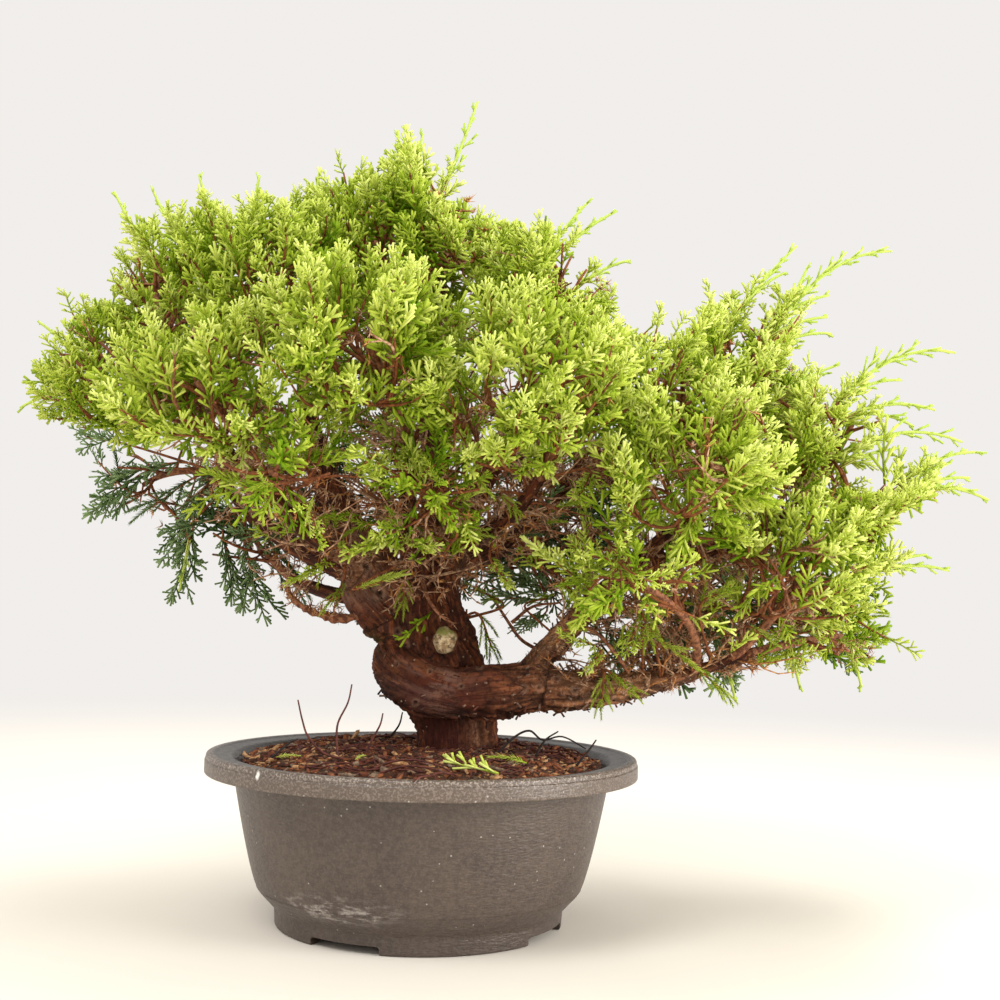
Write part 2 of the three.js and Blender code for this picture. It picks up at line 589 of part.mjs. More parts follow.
// The whole plant and its pot
const bonsai = new THREE.Group();
bonsai.add(nodeMesh('pot', potSolid(), FINISH.pot));
bonsai.add(nodeMesh('soil', soilSolid(), FINISH.soil));
bonsai.add(nodeMesh('trunk', trunkSolid(0), FINISH.bark));
for (const [name, plan] of Object.entries(BOUGHS)) {
  growBough(name, plan);
  bonsai.add(nodeMesh(name, limbs[name].solid, FINISH.young_bark));
}
for (const mass of masses) {
  const start = limbs[mass.plan.on].curve.getPointAt(mass.plan.from);
  const lean = limbs[mass.plan.on].curve.getTangentAt(mass.plan.from);
  const bow = lean.multiplyScalar(start.distanceTo(mass.middle) * STEM_BOW);
  mass.stem = bowed(start, mass.middle.clone().lerp(heart, -STEM_OVERREACH), bow);
  const fatRadius = (share) => stemRadius(share) + CLEAR_RADIUS;
  mass.fatStem = solidOf(limbGeometry(mass.stem, fatRadius, STEM_SIDES, STEM_RINGS));
  addStretches(mass.name, mass.stem, stemRadius, STEM_STRETCHES);
}
for (const mass of masses) {
  const finish = mass.plan.core ? FINISH.foliage : FINISH.inner_foliage;
  bonsai.add(nodeMesh(`${mass.name}_mass`, growMass(mass), finish));
}

export default bonsai;
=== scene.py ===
import math
from collections import namedtuple

import bpy
import numpy as np
from mathutils import Matrix, Vector, noise


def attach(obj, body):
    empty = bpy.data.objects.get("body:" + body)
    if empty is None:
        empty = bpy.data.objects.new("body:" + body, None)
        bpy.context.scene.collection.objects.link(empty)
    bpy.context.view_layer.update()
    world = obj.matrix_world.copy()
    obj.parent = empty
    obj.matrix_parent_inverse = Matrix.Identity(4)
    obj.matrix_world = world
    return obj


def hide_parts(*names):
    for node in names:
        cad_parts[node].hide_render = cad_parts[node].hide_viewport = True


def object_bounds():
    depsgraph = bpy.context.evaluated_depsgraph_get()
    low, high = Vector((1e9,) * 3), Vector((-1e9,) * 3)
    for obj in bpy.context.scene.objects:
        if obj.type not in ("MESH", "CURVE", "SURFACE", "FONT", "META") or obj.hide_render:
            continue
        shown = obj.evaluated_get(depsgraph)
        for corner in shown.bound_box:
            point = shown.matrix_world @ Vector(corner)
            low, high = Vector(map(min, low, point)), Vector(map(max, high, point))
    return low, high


# A chinese juniper bonsai of the Itoigawa variety in a round training pot. The scene is in metres,
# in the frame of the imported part: +Z up, -Y to the front, the origin under the middle of the pot.
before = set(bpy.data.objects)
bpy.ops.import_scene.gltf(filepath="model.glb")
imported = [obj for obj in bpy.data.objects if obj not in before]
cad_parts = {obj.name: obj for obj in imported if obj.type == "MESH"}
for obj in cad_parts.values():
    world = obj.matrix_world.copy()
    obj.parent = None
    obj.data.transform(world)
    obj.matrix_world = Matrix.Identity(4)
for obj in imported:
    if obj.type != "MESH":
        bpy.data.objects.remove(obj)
cad_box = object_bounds()
box_low = np.array(cad_box[0])
box_high = np.array(cad_box[1])

# The plan's sizes are in millimetres
MM = 0.001

# Pot, in millimetres
RIM_RADIUS = 100
POT_HEIGHT = 77
RIM_DEPTH = 8.8
RIM_LIP = 3
LEDGE_INNER_RADIUS = 88
BODY_TOP_RADIUS = 87
WAIST_RADIUS = 74
WAIST_HEIGHT = 16
FOOT_RADIUS = 66
FOOT_HEIGHT = 8
FOOT_WALL = 5
WALL = 3
BODY_SWELL = 0.75
UNDERSIDE_HEIGHT = 4
FLOOR_TOP = 8
PAD_RADIUS = 14
SLOT_WIDTH = 34
SLOT_HEIGHT = 3.6
SLOT_COUNT = 4
FIRST_SLOT_ANGLE = -116
POT_SIDES = 160
SCUFF_PLACE = [-31, -66, 18.6]
SCUFF_SIZE = [38, 30, 8]
CHIP_PLACE = [-64, -76.8, 74.6]
CHIP_SIZE = [1.6, 1.6, 2.6]

# Soil, in millimetres
SOIL_CROWN = 79.2
SOIL_EDGE = 73.5
SOIL_LEVEL_RADIUS = 42
SOIL_RADIUS = 83
SOIL_FALL = 1.6
CHIPS = 4200
CHIP_TONES = [0.27, 0.41, 0.21, 0.11]
ROOTLETS = 150
RED_ROOT, BLACK_TWIG = 4, 5
# Roots and twigs that stand out of the soil: their routes, and whether each is red
SOIL_ROOTS = [
    ([[-18, -66, 76.5], [-9, -69, 80.6], [1, -71, 81.6], [11, -76, 80], [18, -79, 76.5]], True),
    ([[-14, -72, 76], [-4, -75, 79.4], [6, -78, 79.5], [14, -82, 77.8]], True),
    ([[16, -80, 77.6], [11, -87, 78.6], [8, -93, 78.3], [4, -98.6, 78.2], [1.5, -100.9, 76.6]], True),
    ([[-30, -46, 78], [-40, -50, 81], [-47, -51, 88], [-50, -50, 95], [-52.5, -48, 103.5]], True),
    ([[-35, -42, 78], [-36, -40, 85], [-36, -38, 93], [-32, -37, 102], [-30.6, -36, 110]], True),
    ([[-24, -30, 79], [-21, -30, 86], [-18, -30, 92], [-17, -29, 97]], True),
    ([[34, -22, 79], [42, -21, 87], [49, -20, 90], [55, -20, 86], [64, -18, 87.5], [75, -15, 82]], False),
    ([[52, -24, 79], [56, -22, 86], [62, -20, 90]], False),
    ([[-66, -38, 76], [-58, -34, 83], [-54, -32, 85]], False),
    ([[-20, 34, 78], [-14, 30, 86], [-12, 26, 93]], False),
    ([[70, -30, 76], [76, -26, 83], [79, -24, 87]], False),
]

# Trunk and swirl, in millimetres
NECK_FOOT = [15, 8, 77.6]
NECK_RADIUS = 18
FLARE_RADIUS = 19.6
TRUNK_LEAN = [[13.5, 7, 94], [7, 6, 112], [1.5, 5, 131]]
TRUNK_TOP = [-2, 5, 153]
TRUNK_TOP_RADIUS = 15
TRUNK_BELLY_RADIUS = 20.5
FLARE_SHARE = 0.12
BELLY_SHARE = 0.6
SWIRL_CENTRE = [10, 3]
SWIRL_TURN_RADIUS = 22.5
SWIRL_RADIUS = 11.6
SWIRL_HIGH = 124
SWIRL_LOW = 106
SWIRL_ANGLES = [160, 290]
SWIRL_END = [52, -19, 110]
SWIRL_STEPS = 6
SWIRL_TAPER = [1.06, 0.96]
SHOULDER = [[-8, -2, 127], [-22, -4, 138.5], [-31.5, -5, 148], [-33, -4, 160], [-27, -2, 173]]
SHOULDER_RADIUS = 7.4
STUB_FOOT = [8, -8, 128.4]
STUB_END = [9.4, -21, 129.8]
STUB_RADIUS = 6
CUT_END_RADIUS = 5.3
LIMB_STEP = 2.5
BARK_VOXEL = 0.96
FLAKES = 1500

# Boughs: the limb that each leaves, the place on it, its end, how far its middle stands off the
# straight line, and the radii of its foot and tip
BOUGHS = {
    "left_leader": ("trunk", 0.8, [-60, -4, 242], [-11, 0, -5], [14, 4.6]),
    "right_leader": ("trunk", 0.77, [54, 4, 246], [-8, 2, 5], [10, 3.8]),
    "centre_leader": ("trunk", 0.93, [-8, 8, 276], [6, 4, 0], [8.5, 3.4]),
    "back_bough": ("trunk", 0.86, [-8, 84, 250], [2, 12, -14], [8, 3.4]),
    "left_bough": ("left_leader", 0.42, [-122, -10, 244], [-2, -2, -9], [7, 3.2]),
    "left_front_bough": ("left_leader", 0.3, [-72, -50, 203], [-5, -6, -6], [5.5, 2.8]),
    "left_back_bough": ("left_leader", 0.24, [-116, 62, 212], [-4, 4, -10], [6.5, 3]),
    "left_low_bough": ("left_leader", 0.12, [-72, 44, 158], [-4, -6, -3], [5, 2.6]),
    "front_bough": ("trunk", 0.9, [-6, -56, 214], [-4, -9, -6], [6.5, 3]),
    "right_front_bough": ("right_leader", 0.32, [50, -50, 202], [4, -7, -4], [5, 2.8]),
    "back_right_bough": ("right_leader", 0.24, [74, 76, 220], [2, 8, -10], [6, 3]),
    "right_bough": ("swirl", 0.9, [126, -10, 192], [-3, 3, 2], [7.4, 3.4]),
    "right_far_bough": ("right_bough", 0.66, [172, -16, 196], [4, -3, -5], [4.8, 2.8]),
    "right_low_bough": ("swirl", 0.995, [146, -24, 127], [0, 0, -8], [10.8, 3]),
    "right_back_bough": ("right_low_bough", 0.42, [134, 44, 150], [6, 4, -6], [5, 2.8]),
}
BOUGH_TAPER = 1.25

# Masses of foliage: the middle and half-sizes of the space each keeps to, the bough and the place on
# it that its stem leaves, whether it is dense, how bright its sprays are, and the piece it goes to. How
# bright is a level of painted light and shade: the masses low at the back are set dark, as in shade
MASSES = {
    "left_tip": ([-158, -10, 251], [36, 48, 32], "left_bough", 1, True, 2.3, "left"),
    "left_top": ([-130, 6, 297], [38, 50, 36], "left_bough", 0.9, True, 2.65, "left"),
    "left_front": ([-92, -72, 236], [42, 42, 30], "left_front_bough", 1, True, 2.8, "left"),
    "left_low_front": ([-56, -86, 198], [32, 34, 22], "left_front_bough", 0.86, False, 2.5, "low"),
    "left_back_low": ([-150, 74, 205], [38, 42, 28], "left_back_bough", 1, False, 0.6, "low"),
    "left_back_inner": ([-92, 76, 178], [44, 38, 26], "left_low_bough", 1, False, 0.3, "low"),
    "top_left": ([-76, -14, 304], [38, 50, 36], "left_leader", 1, True, 2.6, "top"),
    "top_mid": ([-34, 8, 324], [36, 54, 40], "centre_leader", 0.9, True, 2.7, "top"),
    "apex": ([4, 0, 330], [34, 50, 42], "centre_leader", 1, True, 2.8, "top"),
    "top_right": ([58, 0, 300], [46, 50, 40], "right_leader", 1, True, 2.9, "top"),
    "mid_left_front": ([-26, -88, 254], [44, 42, 33], "front_bough", 1, True, 3.0, "front"),
    "mid_front": ([44, -86, 240], [42, 42, 35], "right_front_bough", 1, True, 3.1, "front"),
    "low_mid_front": ([4, -70, 194], [34, 32, 22], "front_bough", 0.76, False, 2.3, "low"),
    "right_mid": ([106, -30, 246], [34, 46, 34], "right_bough", 1, True, 3.1, "front"),
    "right_top": ([152, 0, 270], [34, 48, 42], "right_bough", 0.9, True, 3.05, "right"),
    "right_front": ([116, -80, 206], [36, 38, 30], "right_far_bough", 0.76, True, 3.25, "right"),
    "right_far_up": ([192, -4, 236], [38, 46, 32], "right_far_bough", 0.9, True, 3.25, "right"),
    "right_far_tip": ([216, -22, 196], [40, 42, 24], "right_far_bough", 1, True, 3.35, "right"),
    "right_low_front": ([90, -78, 158], [32, 34, 24], "right_low_bough", 0.74, False, 3.1, "low"),
    "right_low": ([160, -50, 168], [40, 40, 28], "right_low_bough", 0.9, True, 3.25, "right"),
    "right_low_far": ([192, 2, 138], [36, 40, 24], "right_low_bough", 1, False, 2.3, "low"),
    "right_back_low": ([148, 62, 132], [36, 40, 24], "right_back_bough", 1, False, 1.0, "low"),
    "back_left": ([-126, 88, 286], [44, 44, 38], "left_back_bough", 0.86, True, 2.4, "back"),
    "back_mid_left": ([-48, 104, 306], [54, 46, 44], "back_bough", 1, True, 2.8, "back"),
    "back_mid": ([48, 106, 284], [52, 46, 46], "back_right_bough", 1, True, 2.8, "back"),
    "back_right": ([152, 86, 238], [44, 46, 38], "right_back_bough", 0.84, True, 2.6, "back"),
    "back_low_mid": ([44, 92, 168], [34, 36, 26], "back_right_bough", 0.8, False, 0.6, "low"),
}
SPACE_GROWTH = 1.12
SPACE_LIMIT = 1.02
CROWN_LIMIT = 1.12

# Long shoots that stand out of the crown, by mass: the foot, the tip, and how much each arches
RUNNERS = {
    "apex": [
        ([-3, 0, 334], [17.6, 0, 389.5], -0.05), ([-19, -6, 338], [-20, -6, 372], 0.02),
        ([-12, -8, 345], [-8, -8, 370], 0.03),
    ],
    "left_tip": [([-168, -10, 240], [-193, -10, 233], 0.1), ([-168, -10, 258], [-186, -10, 274], 0.05)],
    "left_top": [
        ([-134, -5, 306], [-155, -5, 339], -0.04), ([-124, -5, 318], [-137, -5, 341], -0.03),
        ([-107, 0, 318], [-116, 0, 350], 0.02),
    ],
    "top_left": [([-90, -4, 322], [-86, -4, 349], 0.02)],
    "top_mid": [([-60, 0, 328], [-58, 0, 353], 0.02)],
    "top_right": [
        ([49, 0, 308], [74, 0, 343], 0.06), ([55, 0, 312], [86, 0, 337], 0.06),
        ([66, 0, 298], [93, 0, 313], 0.08),
    ],
    "right_top": [
        ([134, -4, 272], [172, -4, 321], 0.05), ([147, -4, 292], [167, -4, 308], 0.08),
        ([152, -6, 268], [217, -6, 319], 0.16), ([164, -6, 286], [177, -6, 311], -0.05),
        ([160, -6, 284], [187, -6, 297], 0.06), ([156, -8, 274], [186, -8, 286], 0.08),
        ([156, -8, 268], [188, -8, 278], 0.1),
    ],
    "right_far_up": [
        ([162, -10, 246], [191, -10, 263], 0.06), ([180, -10, 233], [246, -10, 270], 0.17),
        ([190, -12, 245], [220, -12, 256], 0.1), ([187, -14, 234], [235, -14, 242], 0.12),
        ([192, -14, 237], [225, -14, 234], 0.12),
    ],
    "right_far_tip": [
        ([187, -16, 217], [247, -16, 227], 0.14), ([190, -16, 214], [216, -16, 223], 0.06),
        ([217, -18, 206], [256, -18, 222], 0.12), ([221, -18, 206], [241, -18, 217], 0.08),
        ([218, -20, 202], [249, -20, 210], 0.08), ([216, -20, 203], [257.6, -20, 200], 0.1),
        ([229, -20, 203], [250, -20, 204], 0.08),
    ],
    "right_low": [([202, -24, 165], [238, -24, 167], 0.08), ([208, -24, 168], [228, -24, 174], 0.06)],
    "right_low_far": [([199, 0, 134], [205, 0, 112], 0.0), ([171, 0, 131], [176, 0, 111], 0.02)],
    "right_back_low": [([144, 20, 122], [149, 20, 104], 0.02)],
    "left_back_low": [([-127, 60, 176], [-131, 60, 150], 0.02)],
}

# The crown's outline as it looks from the front, on the upright plane through the pot's middle: x and z.
# Foliage keeps inside it, and out of ovals where the sky shows, each with its middle and half-sizes.
OUTLINE = [
    [-197, 236], [-189, 274], [-175, 281], [-160, 309], [-150, 318], [-157, 340], [-145, 332], [-125, 337],
    [-116, 349], [-100, 335], [-86, 347], [-58, 351], [-33, 358], [-22, 372], [-11, 370], [-3, 346],
    [15, 341], [32, 334], [72, 336], [79, 323], [76, 311], [88, 299], [106, 281], [122, 280],
    [130, 296], [149, 308], [172, 319], [178, 301], [178, 283], [195, 265], [219, 250], [226, 236],
    [218, 226], [228, 217], [251, 206], [229, 198], [222, 189], [236, 172], [222, 160], [227, 151],
    [216, 130], [205, 115], [198, 124], [187, 124], [178, 109], [167, 123], [152, 118], [143, 105],
    [133, 114], [101, 104], [63, 112], [35, 120], [6, 126], [-15, 130], [-36, 137], [-64, 143],
    [-76, 159], [-89, 148], [-98, 158], [-116, 149], [-128, 168], [-126, 185], [-159, 188], [-163, 206],
    [-182, 225],
]
SKY_GAPS = [
    ([-130, 203], [18, 11]), ([-101, 171], [8, 9]), ([44, 142], [17, 16]), ([101, 298], [13, 18]),
    ([161, 296], [14, 12]), ([184, 272], [13, 9]), ([193, 261], [11, 6]), ([200, 251], [18, 7]),
    ([210, 233], [18, 5]), ([210, 217], [20, 9]), ([231, 193], [9, 6]), ([226, 179], [13, 7]),
    ([144, 271], [4, 3]), ([71, 311], [13, 9]), ([-163, 297], [6, 8]), ([-191, 270], [8, 7]),
    ([-177, 224], [10, 4]), ([-96, 343], [5, 6]), ([-75, 348], [5, 5]),
]
# Where the photo was taken from
FRONT_EYE = [33, -641, 149]
# Ovals where the inner wood shows through the front of the crown, and where twigs close it to the light
HOLLOW_VIEWS = [
    ([-87, 270], [12, 8]), ([-107, 239], [11, 4]), ([18, 240], [14, 9]), ([-29, 226], [7, 9]),
    ([-53, 203], [20, 8]), ([36, 213], [7, 7]), ([69, 186], [16, 10]), ([105, 170], [13, 8]),
    ([5, 174], [17, 7]), ([166, 146], [24, 6]), ([-30, 192], [16, 7]), ([134, 175], [16, 6]),
    ([75, 211], [10, 6]), ([150, 172], [22, 6]), ([124, 151], [14, 7]), ([176, 152], [16, 6]),
]
FILL_VIEWS = [
    ([83, 209], [14, 17]), ([81, 183], [17, 12]), ([-36, 213], [12, 12]), ([-69, 226], [8, 9]),
    ([-16, 181], [6, 12]), ([52, 197], [9, 14]), ([157, 152], [33, 10]), ([195, 134], [24, 9]),
    ([-27, 221], [19, 14]), ([-27, 276], [6, 11]), ([75, 214], [16, 14]), ([89, 200], [11, 16]),
    ([23, 217], [19, 16]), ([-73, 227], [10, 14]), ([8, 318], [6, 9]), ([62, 185], [14, 14]),
    ([-30, 239], [14, 10]), ([93, 135], [26, 14]), ([2, 281], [6, 7]), ([-14, 252], [22, 14]),
    ([45, 222], [11, 10]),
]

# Twigs in each oval: how many, from where to where in depth, and the share that have a spray
TWIGS_IN_HOLLOW = [14, [-60, 10], 0.0]
TWIGS_BEHIND_HOLLOW = [16, [15, 90], 0.9]
TWIGS_IN_FILL = [36, [5, 110], 0.6]

# Sprigs that hang in front of the wood: foot, tip, kind and how bright, a level of the painted light
# and shade of their greens: the sprigs behind the trunk are set darker
SPRIGS = [
    ([-31, -42, 152], [-14, -44, 157], "young", 0.9), ([-9, -28, 158], [-9, -30, 146], "young", 0.3),
    ([29, -38, 168], [37, -44, 157], "fan", 0.8), ([24, 2, 142], [31, 0, 126], "young", -0.8),
    ([79, -38, 128], [64, -44, 133], "fan", 0.9), ([80, -40, 128], [74, -46, 120], "fan", 1.1),
    ([81, -36, 118], [80, -40, 105], "young", 0.1), ([82, -36, 119], [92, -40, 110], "young", 0.0),
    ([36, 8, 146], [24, 10, 153], "young", -1.2), ([46, 10, 146], [56, 10, 150], "young", -1.2),
    ([104, -44, 132], [116, -50, 124], "young", 0.4), ([96, -46, 140], [90, -54, 130], "slender", 0.6),
    ([120, -40, 122], [132, -44, 112], "young", 0.2), ([60, -40, 160], [68, -48, 150], "fan", 0.8),
    ([-7, -42, 176], [-26, -58, 170], "fan", 1.0), ([-11, -42, 176], [2, -56, 172], "fan", 0.9),
    ([7, -34, 175], [0, -44, 178], "young", -0.2), ([10, -34, 175], [22, -46, 178], "young", -0.1),
    ([12, -50, 189], [20, -66, 197], "fan", 0.9), ([33, -56, 195], [40, -62, 188], "young", 0.7),
    ([74, -44, 154], [54, -60, 168], "fan", 1.3), ([73, -44, 156], [70, -58, 171], "slender", 1.0),
    ([-11, -60, 214], [-1, -74, 206], "slender", 1.2), ([-12, -60, 215], [-13, -72, 206], "slender", 0.9),
    ([71, -60, 206], [67, -72, 194], "fan", 1.0), ([95, -50, 155], [86, -64, 164], "fan", 1.2),
    ([104, -50, 150], [108, -66, 162], "slender", 1.2), ([121, -48, 147], [129, -62, 155], "young", 1.0),
    ([95, -46, 146], [99, -54, 133], "young", 0.6), ([143, -40, 140], [152, -46, 134], "young", 0.6),
    ([-44, -20, 165], [-54, -30, 159], "slender", 0.2), ([-38, -16, 156], [-43, -22, 146], "young", -0.2),
]
# Sprigs far behind, seen beside the trunk and under the foliage at the left, with the mass of each
BACK_SPRIGS = [
    ([63, 60, 152], [37, 80, 150], "slender", 1.0, "back_low_mid"),
    ([61, 60, 155], [47, 80, 161], "slender", 1.4, "back_low_mid"),
    ([59, 60, 147], [49, 76, 137], "slender", 1.0, "back_low_mid"),
    ([65, 60, 156], [59, 74, 167], "slender", 1.2, "back_low_mid"),
    ([-134, 60, 216], [-166, 70, 210], "slender", 0.9, "left_back_low"),
    ([-150, 64, 212], [-174, 74, 196], "slender", 0.6, "left_back_low"),
    ([-128, 60, 207], [-150, 72, 193], "young", 0.6, "left_back_low"),
    ([-123, 60, 197], [-137, 72, 176], "slender", 0.9, "left_back_low"),
    ([-124, 60, 186], [-133, 70, 158], "slender", 0.6, "left_back_low"),
    ([-110, 60, 181], [-103, 68, 155], "slender", 0.8, "left_back_inner"),
    ([-162, 64, 225], [-186, 70, 229], "slender", 0.9, "left_back_low"),
    ([-99, 60, 179], [-93, 66, 151], "slender", 0.9, "left_back_inner"),
    ([-113, 60, 213], [-126, 68, 197], "slender", 0.9, "left_back_low"),
    ([-90, 60, 182], [-75, 66, 156], "young", 0.8, "left_back_inner"),
]
# Routes of bare twigs that loop round the wood, and of the dead branch at the left of the trunk
LOOPS = [
    [[92, -34, 118], [86, -38, 126], [76, -38, 136], [65, -38, 136], [60, -36, 131]],
    [[52, 6, 126], [44, 10, 131], [36, 10, 142], [30, 10, 150], [22, 8, 154]],
    [[40, 10, 138], [50, 10, 146], [62, 8, 148]],
    [[-2, -22, 158], [2, -30, 148], [8, -32, 141], [13, -31, 138]],
]
DEAD_BRANCH = [
    [-28, -8, 142], [-37, -10, 138.5], [-46, -13, 139.5], [-54, -15, 142], [-61, -17, 147], [-64, -18, 152],
]

# How the masses grow: lengths in millimetres, counts for each mass, and shares of a length
HOLLOW_DEPTH = 20
VALLEY_SIZE = 21
VALLEY_DEPTH = -0.18
STEM_RADII = [2.4, 1.3]
STEM_BOW = 0.12
STEM_OVERREACH = 0.04
TWIG_RADII = [0.95, 0.55]
TWIGS_DENSE = 10
TWIGS_OPEN = 9
PLUMES_DENSE = 29
PLUMES_OPEN = 14
PLUMES = {
    "low_mid_front": 9, "right_low_front": 5, "left_low_front": 9, "top_left": 33, "top_mid": 35,
    "apex": 33, "top_right": 35, "mid_front": 36, "mid_left_front": 33, "right_mid": 31, "left_tip": 26,
    "left_top": 26, "left_front": 26, "right_front": 24, "right_low": 18, "left_back_low": 22,
    "right_low_far": 11, "right_back_low": 11, "back_left": 27, "back_mid_left": 27, "back_mid": 27,
    "back_right": 27,
}
PLUME_SHARES = [0.5, 1.0]
PLUME_TESTS = [0.45, 0.6, 0.75, 0.9]
PLUME_LENGTHS = [30, 48]
PLUME_REACH = 80
PLUME_RADII = [0.8, 0.38]
FAN_STEP = 3.1
RUNNER_LEAFY = 0.36
RUNNER_BUMP_STEP = 4.4
BARE_TWIGS = 9
DRY_SPOTS = 26
FILL_LIMIT = 1.7
DEAD_BRANCH_TWIGS = 26
SPRIG_SPRAYS = 6
OPEN_STEP = 6.5
INNER_SPRAYS = 20
INNER_TWIGS_PER_METRE = 380
TWIG_LEAVES_STEM = [0.55, 0.98]
REACHES = [1, 0.88, 0.76, 0.64]
INWARD_LIMIT = -0.4
LIFT = 0.22
CROWN_HEART = [16, 10, 205]
LIMB_CLEARANCE = 0.9
GOLDEN_ANGLE = math.pi * (3 - math.sqrt(5))
SEED = 4171
SEED_STEP = 97
# Numbers that the source draws for each twig and that this script has no use for
SOURCE_DRAWS = 2


def metres(places):
    """Millimetres of the plan, as an array in metres."""
    return MM * np.array(places, float)


def mix(low, high, share):
    return low + (high - low) * share


def unit(way):
    """A direction, or each row of them, at length 1."""
    way = np.asarray(way, float)
    return way / np.maximum(np.linalg.norm(way, axis=-1, keepdims=True), 1e-12)


def seeded(seed):
    """A repeatable stream of numbers from 0 to 1, the same as the source's."""
    state = seed & 0xFFFFFFFF

    def draw():
        nonlocal state
        state = (state + 0x6D2B79F5) & 0xFFFFFFFF
        t = ((state ^ (state >> 15)) * (state | 1)) & 0xFFFFFFFF
        t ^= (t + ((t ^ (t >> 7)) * (t | 61))) & 0xFFFFFFFF
        return (t ^ (t >> 14)) / 4294967296

    return draw


class Course:
    """A smooth course through space, kept as many short straight stretches."""

    def __init__(self, points):
        self.points = np.asarray(points, float)
        steps = np.linalg.norm(np.diff(self.points, axis=0), axis=1)
        self.along = np.concatenate(([0.0], np.cumsum(steps)))
        self.length = self.along[-1]

    def at(self, share):
        place = np.clip(share, 0, 1) * self.length
        return np.stack([np.interp(place, self.along, axis) for axis in self.points.T], axis=-1)

    def heading(self, share):
        return unit(self.at(np.asarray(share) + 0.02) - self.at(np.asarray(share) - 0.02))


def bowed(start, end, bow, steps=24):
    """A course whose middle stands off the straight line by bow."""
    start, end = np.asarray(start, float), np.asarray(end, float)
    middle = (start + end) / 2 + 2 * np.asarray(bow, float)
    t = np.linspace(0, 1, steps + 1)[:, None]
    return Course((1 - t) ** 2 * start + 2 * t * (1 - t) * middle + t**2 * end)


def bent(start, start_way, end, end_way, steps=10):
    """A course that leaves start along start_way and comes to end along end_way."""
    reach = 0.4 * np.linalg.norm(np.asarray(end) - start)
    b, c = start + reach * unit(start_way), end - reach * unit(end_way)
    t = np.linspace(0, 1, steps + 1)[:, None]
    return Course((1 - t) ** 3 * start + 3 * t * (1 - t) ** 2 * b + 3 * t**2 * (1 - t) * c + t**3 * end)


def through(places, steps=10):
    """A course that passes smoothly through every place."""
    p = np.asarray(places, float)
    p = np.vstack([2 * p[0] - p[1], p, 2 * p[-1] - p[-2]])
    points = []
    for a, b, c, d in zip(p[:-3], p[1:-2], p[2:-1], p[3:]):
        for t in np.arange(steps) / steps:
            points.append(b + 0.5 * t * (c - a + t * (2 * a - 5 * b + 4 * c - d + t * (3 * (b - c) + d - a))))
    return Course(points + [p[-2]])


# Limbs: the course of each, and its radius along it, both in metres
def trunk_radius(share):
    share = np.asarray(share, float)
    foot = mix(FLARE_RADIUS, NECK_RADIUS, share / FLARE_SHARE)
    neck = mix(NECK_RADIUS, TRUNK_BELLY_RADIUS, (share - FLARE_SHARE) / (BELLY_SHARE - FLARE_SHARE))
    top = mix(TRUNK_BELLY_RADIUS, TRUNK_TOP_RADIUS, (share - BELLY_SHARE) / (1 - BELLY_SHARE))
    return MM * np.where(share < FLARE_SHARE, foot, np.where(share < BELLY_SHARE, neck, top))


def swirl_course():
    """The course of the swirl: part of a falling turn round the trunk, then away to the right."""
    route = []
    for share in np.linspace(0, 1, SWIRL_STEPS + 1):
        angle = math.radians(mix(*SWIRL_ANGLES, share))
        route.append([
            SWIRL_CENTRE[0] + SWIRL_TURN_RADIUS * math.cos(angle),
            SWIRL_CENTRE[1] + SWIRL_TURN_RADIUS * math.sin(angle),
            mix(SWIRL_HIGH, SWIRL_LOW, math.sin(share * math.pi / 2)),
        ])
    return through(metres(route + [SWIRL_END]))


def swirl_radius(share):
    return MM * SWIRL_RADIUS * mix(*SWIRL_TAPER, np.asarray(share, float))


def stem_radius(share):
    return MM * mix(*STEM_RADII, np.asarray(share, float))


def tapering(foot, tip):
    """The radius of a bough along it."""
    return lambda share: MM * mix(tip, foot, (1 - np.asarray(share)) ** BOUGH_TAPER)


def even(radius):
    """The same radius all along."""
    return lambda shares: np.full(len(shares), MM * radius)


limbs = {
    "trunk": (through(metres([NECK_FOOT, *TRUNK_LEAN, TRUNK_TOP])), trunk_radius),
    "swirl": (swirl_course(), swirl_radius),
}
for bough, (parent, leaves, end, bow, radii) in BOUGHS.items():
    bough_course = bowed(limbs[parent][0].at(leaves), metres(end), metres(bow))
    limbs[bough] = (bough_course, tapering(*radii))


# Gathering many small shapes into one mesh
class Gathered:
    """The corners and three-sided faces of many small closed shapes, each face with its look."""

    def __init__(self):
        self.corners, self.faces, self.looks, self.count = [], [], [], 0

    def add(self, shape, look):
        corners, faces = shape
        self.corners.append(corners)
        self.faces.append(faces + self.count)
        self.looks.append(np.full(len(faces), look) if np.isscalar(look) else look)
        self.count += len(corners)

    def piece(self, name, materials):
        corners, faces = np.vstack(self.corners), np.vstack(self.faces)
        mesh = bpy.data.meshes.new(name)
        mesh.vertices.add(len(corners))
        mesh.vertices.foreach_set("co", corners.astype(np.float32).ravel())
        mesh.loops.add(faces.size)
        mesh.loops.foreach_set("vertex_index", faces.astype(np.int32).ravel())
        mesh.polygons.add(len(faces))
        mesh.polygons.foreach_set("loop_start", np.arange(0, faces.size, 3, dtype=np.int32))
        for material in materials:
            mesh.materials.append(material)
        mesh.polygons.foreach_set("material_index", np.concatenate(self.looks).astype(np.int32))
        mesh.polygons.foreach_set("use_smooth", np.ones(len(faces), bool))
        mesh.update(calc_edges=True)
        piece = bpy.data.objects.new(name, mesh)
        bpy.context.scene.collection.objects.link(piece)
        return piece


def joined(shapes):
    """Several shapes as one."""
    corners, faces, count = [], [], 0
    for shape in shapes:
        corners.append(shape[0])
        faces.append(shape[1] + count)
        count += len(shape[0])
    return np.vstack(corners), np.vstack(faces)


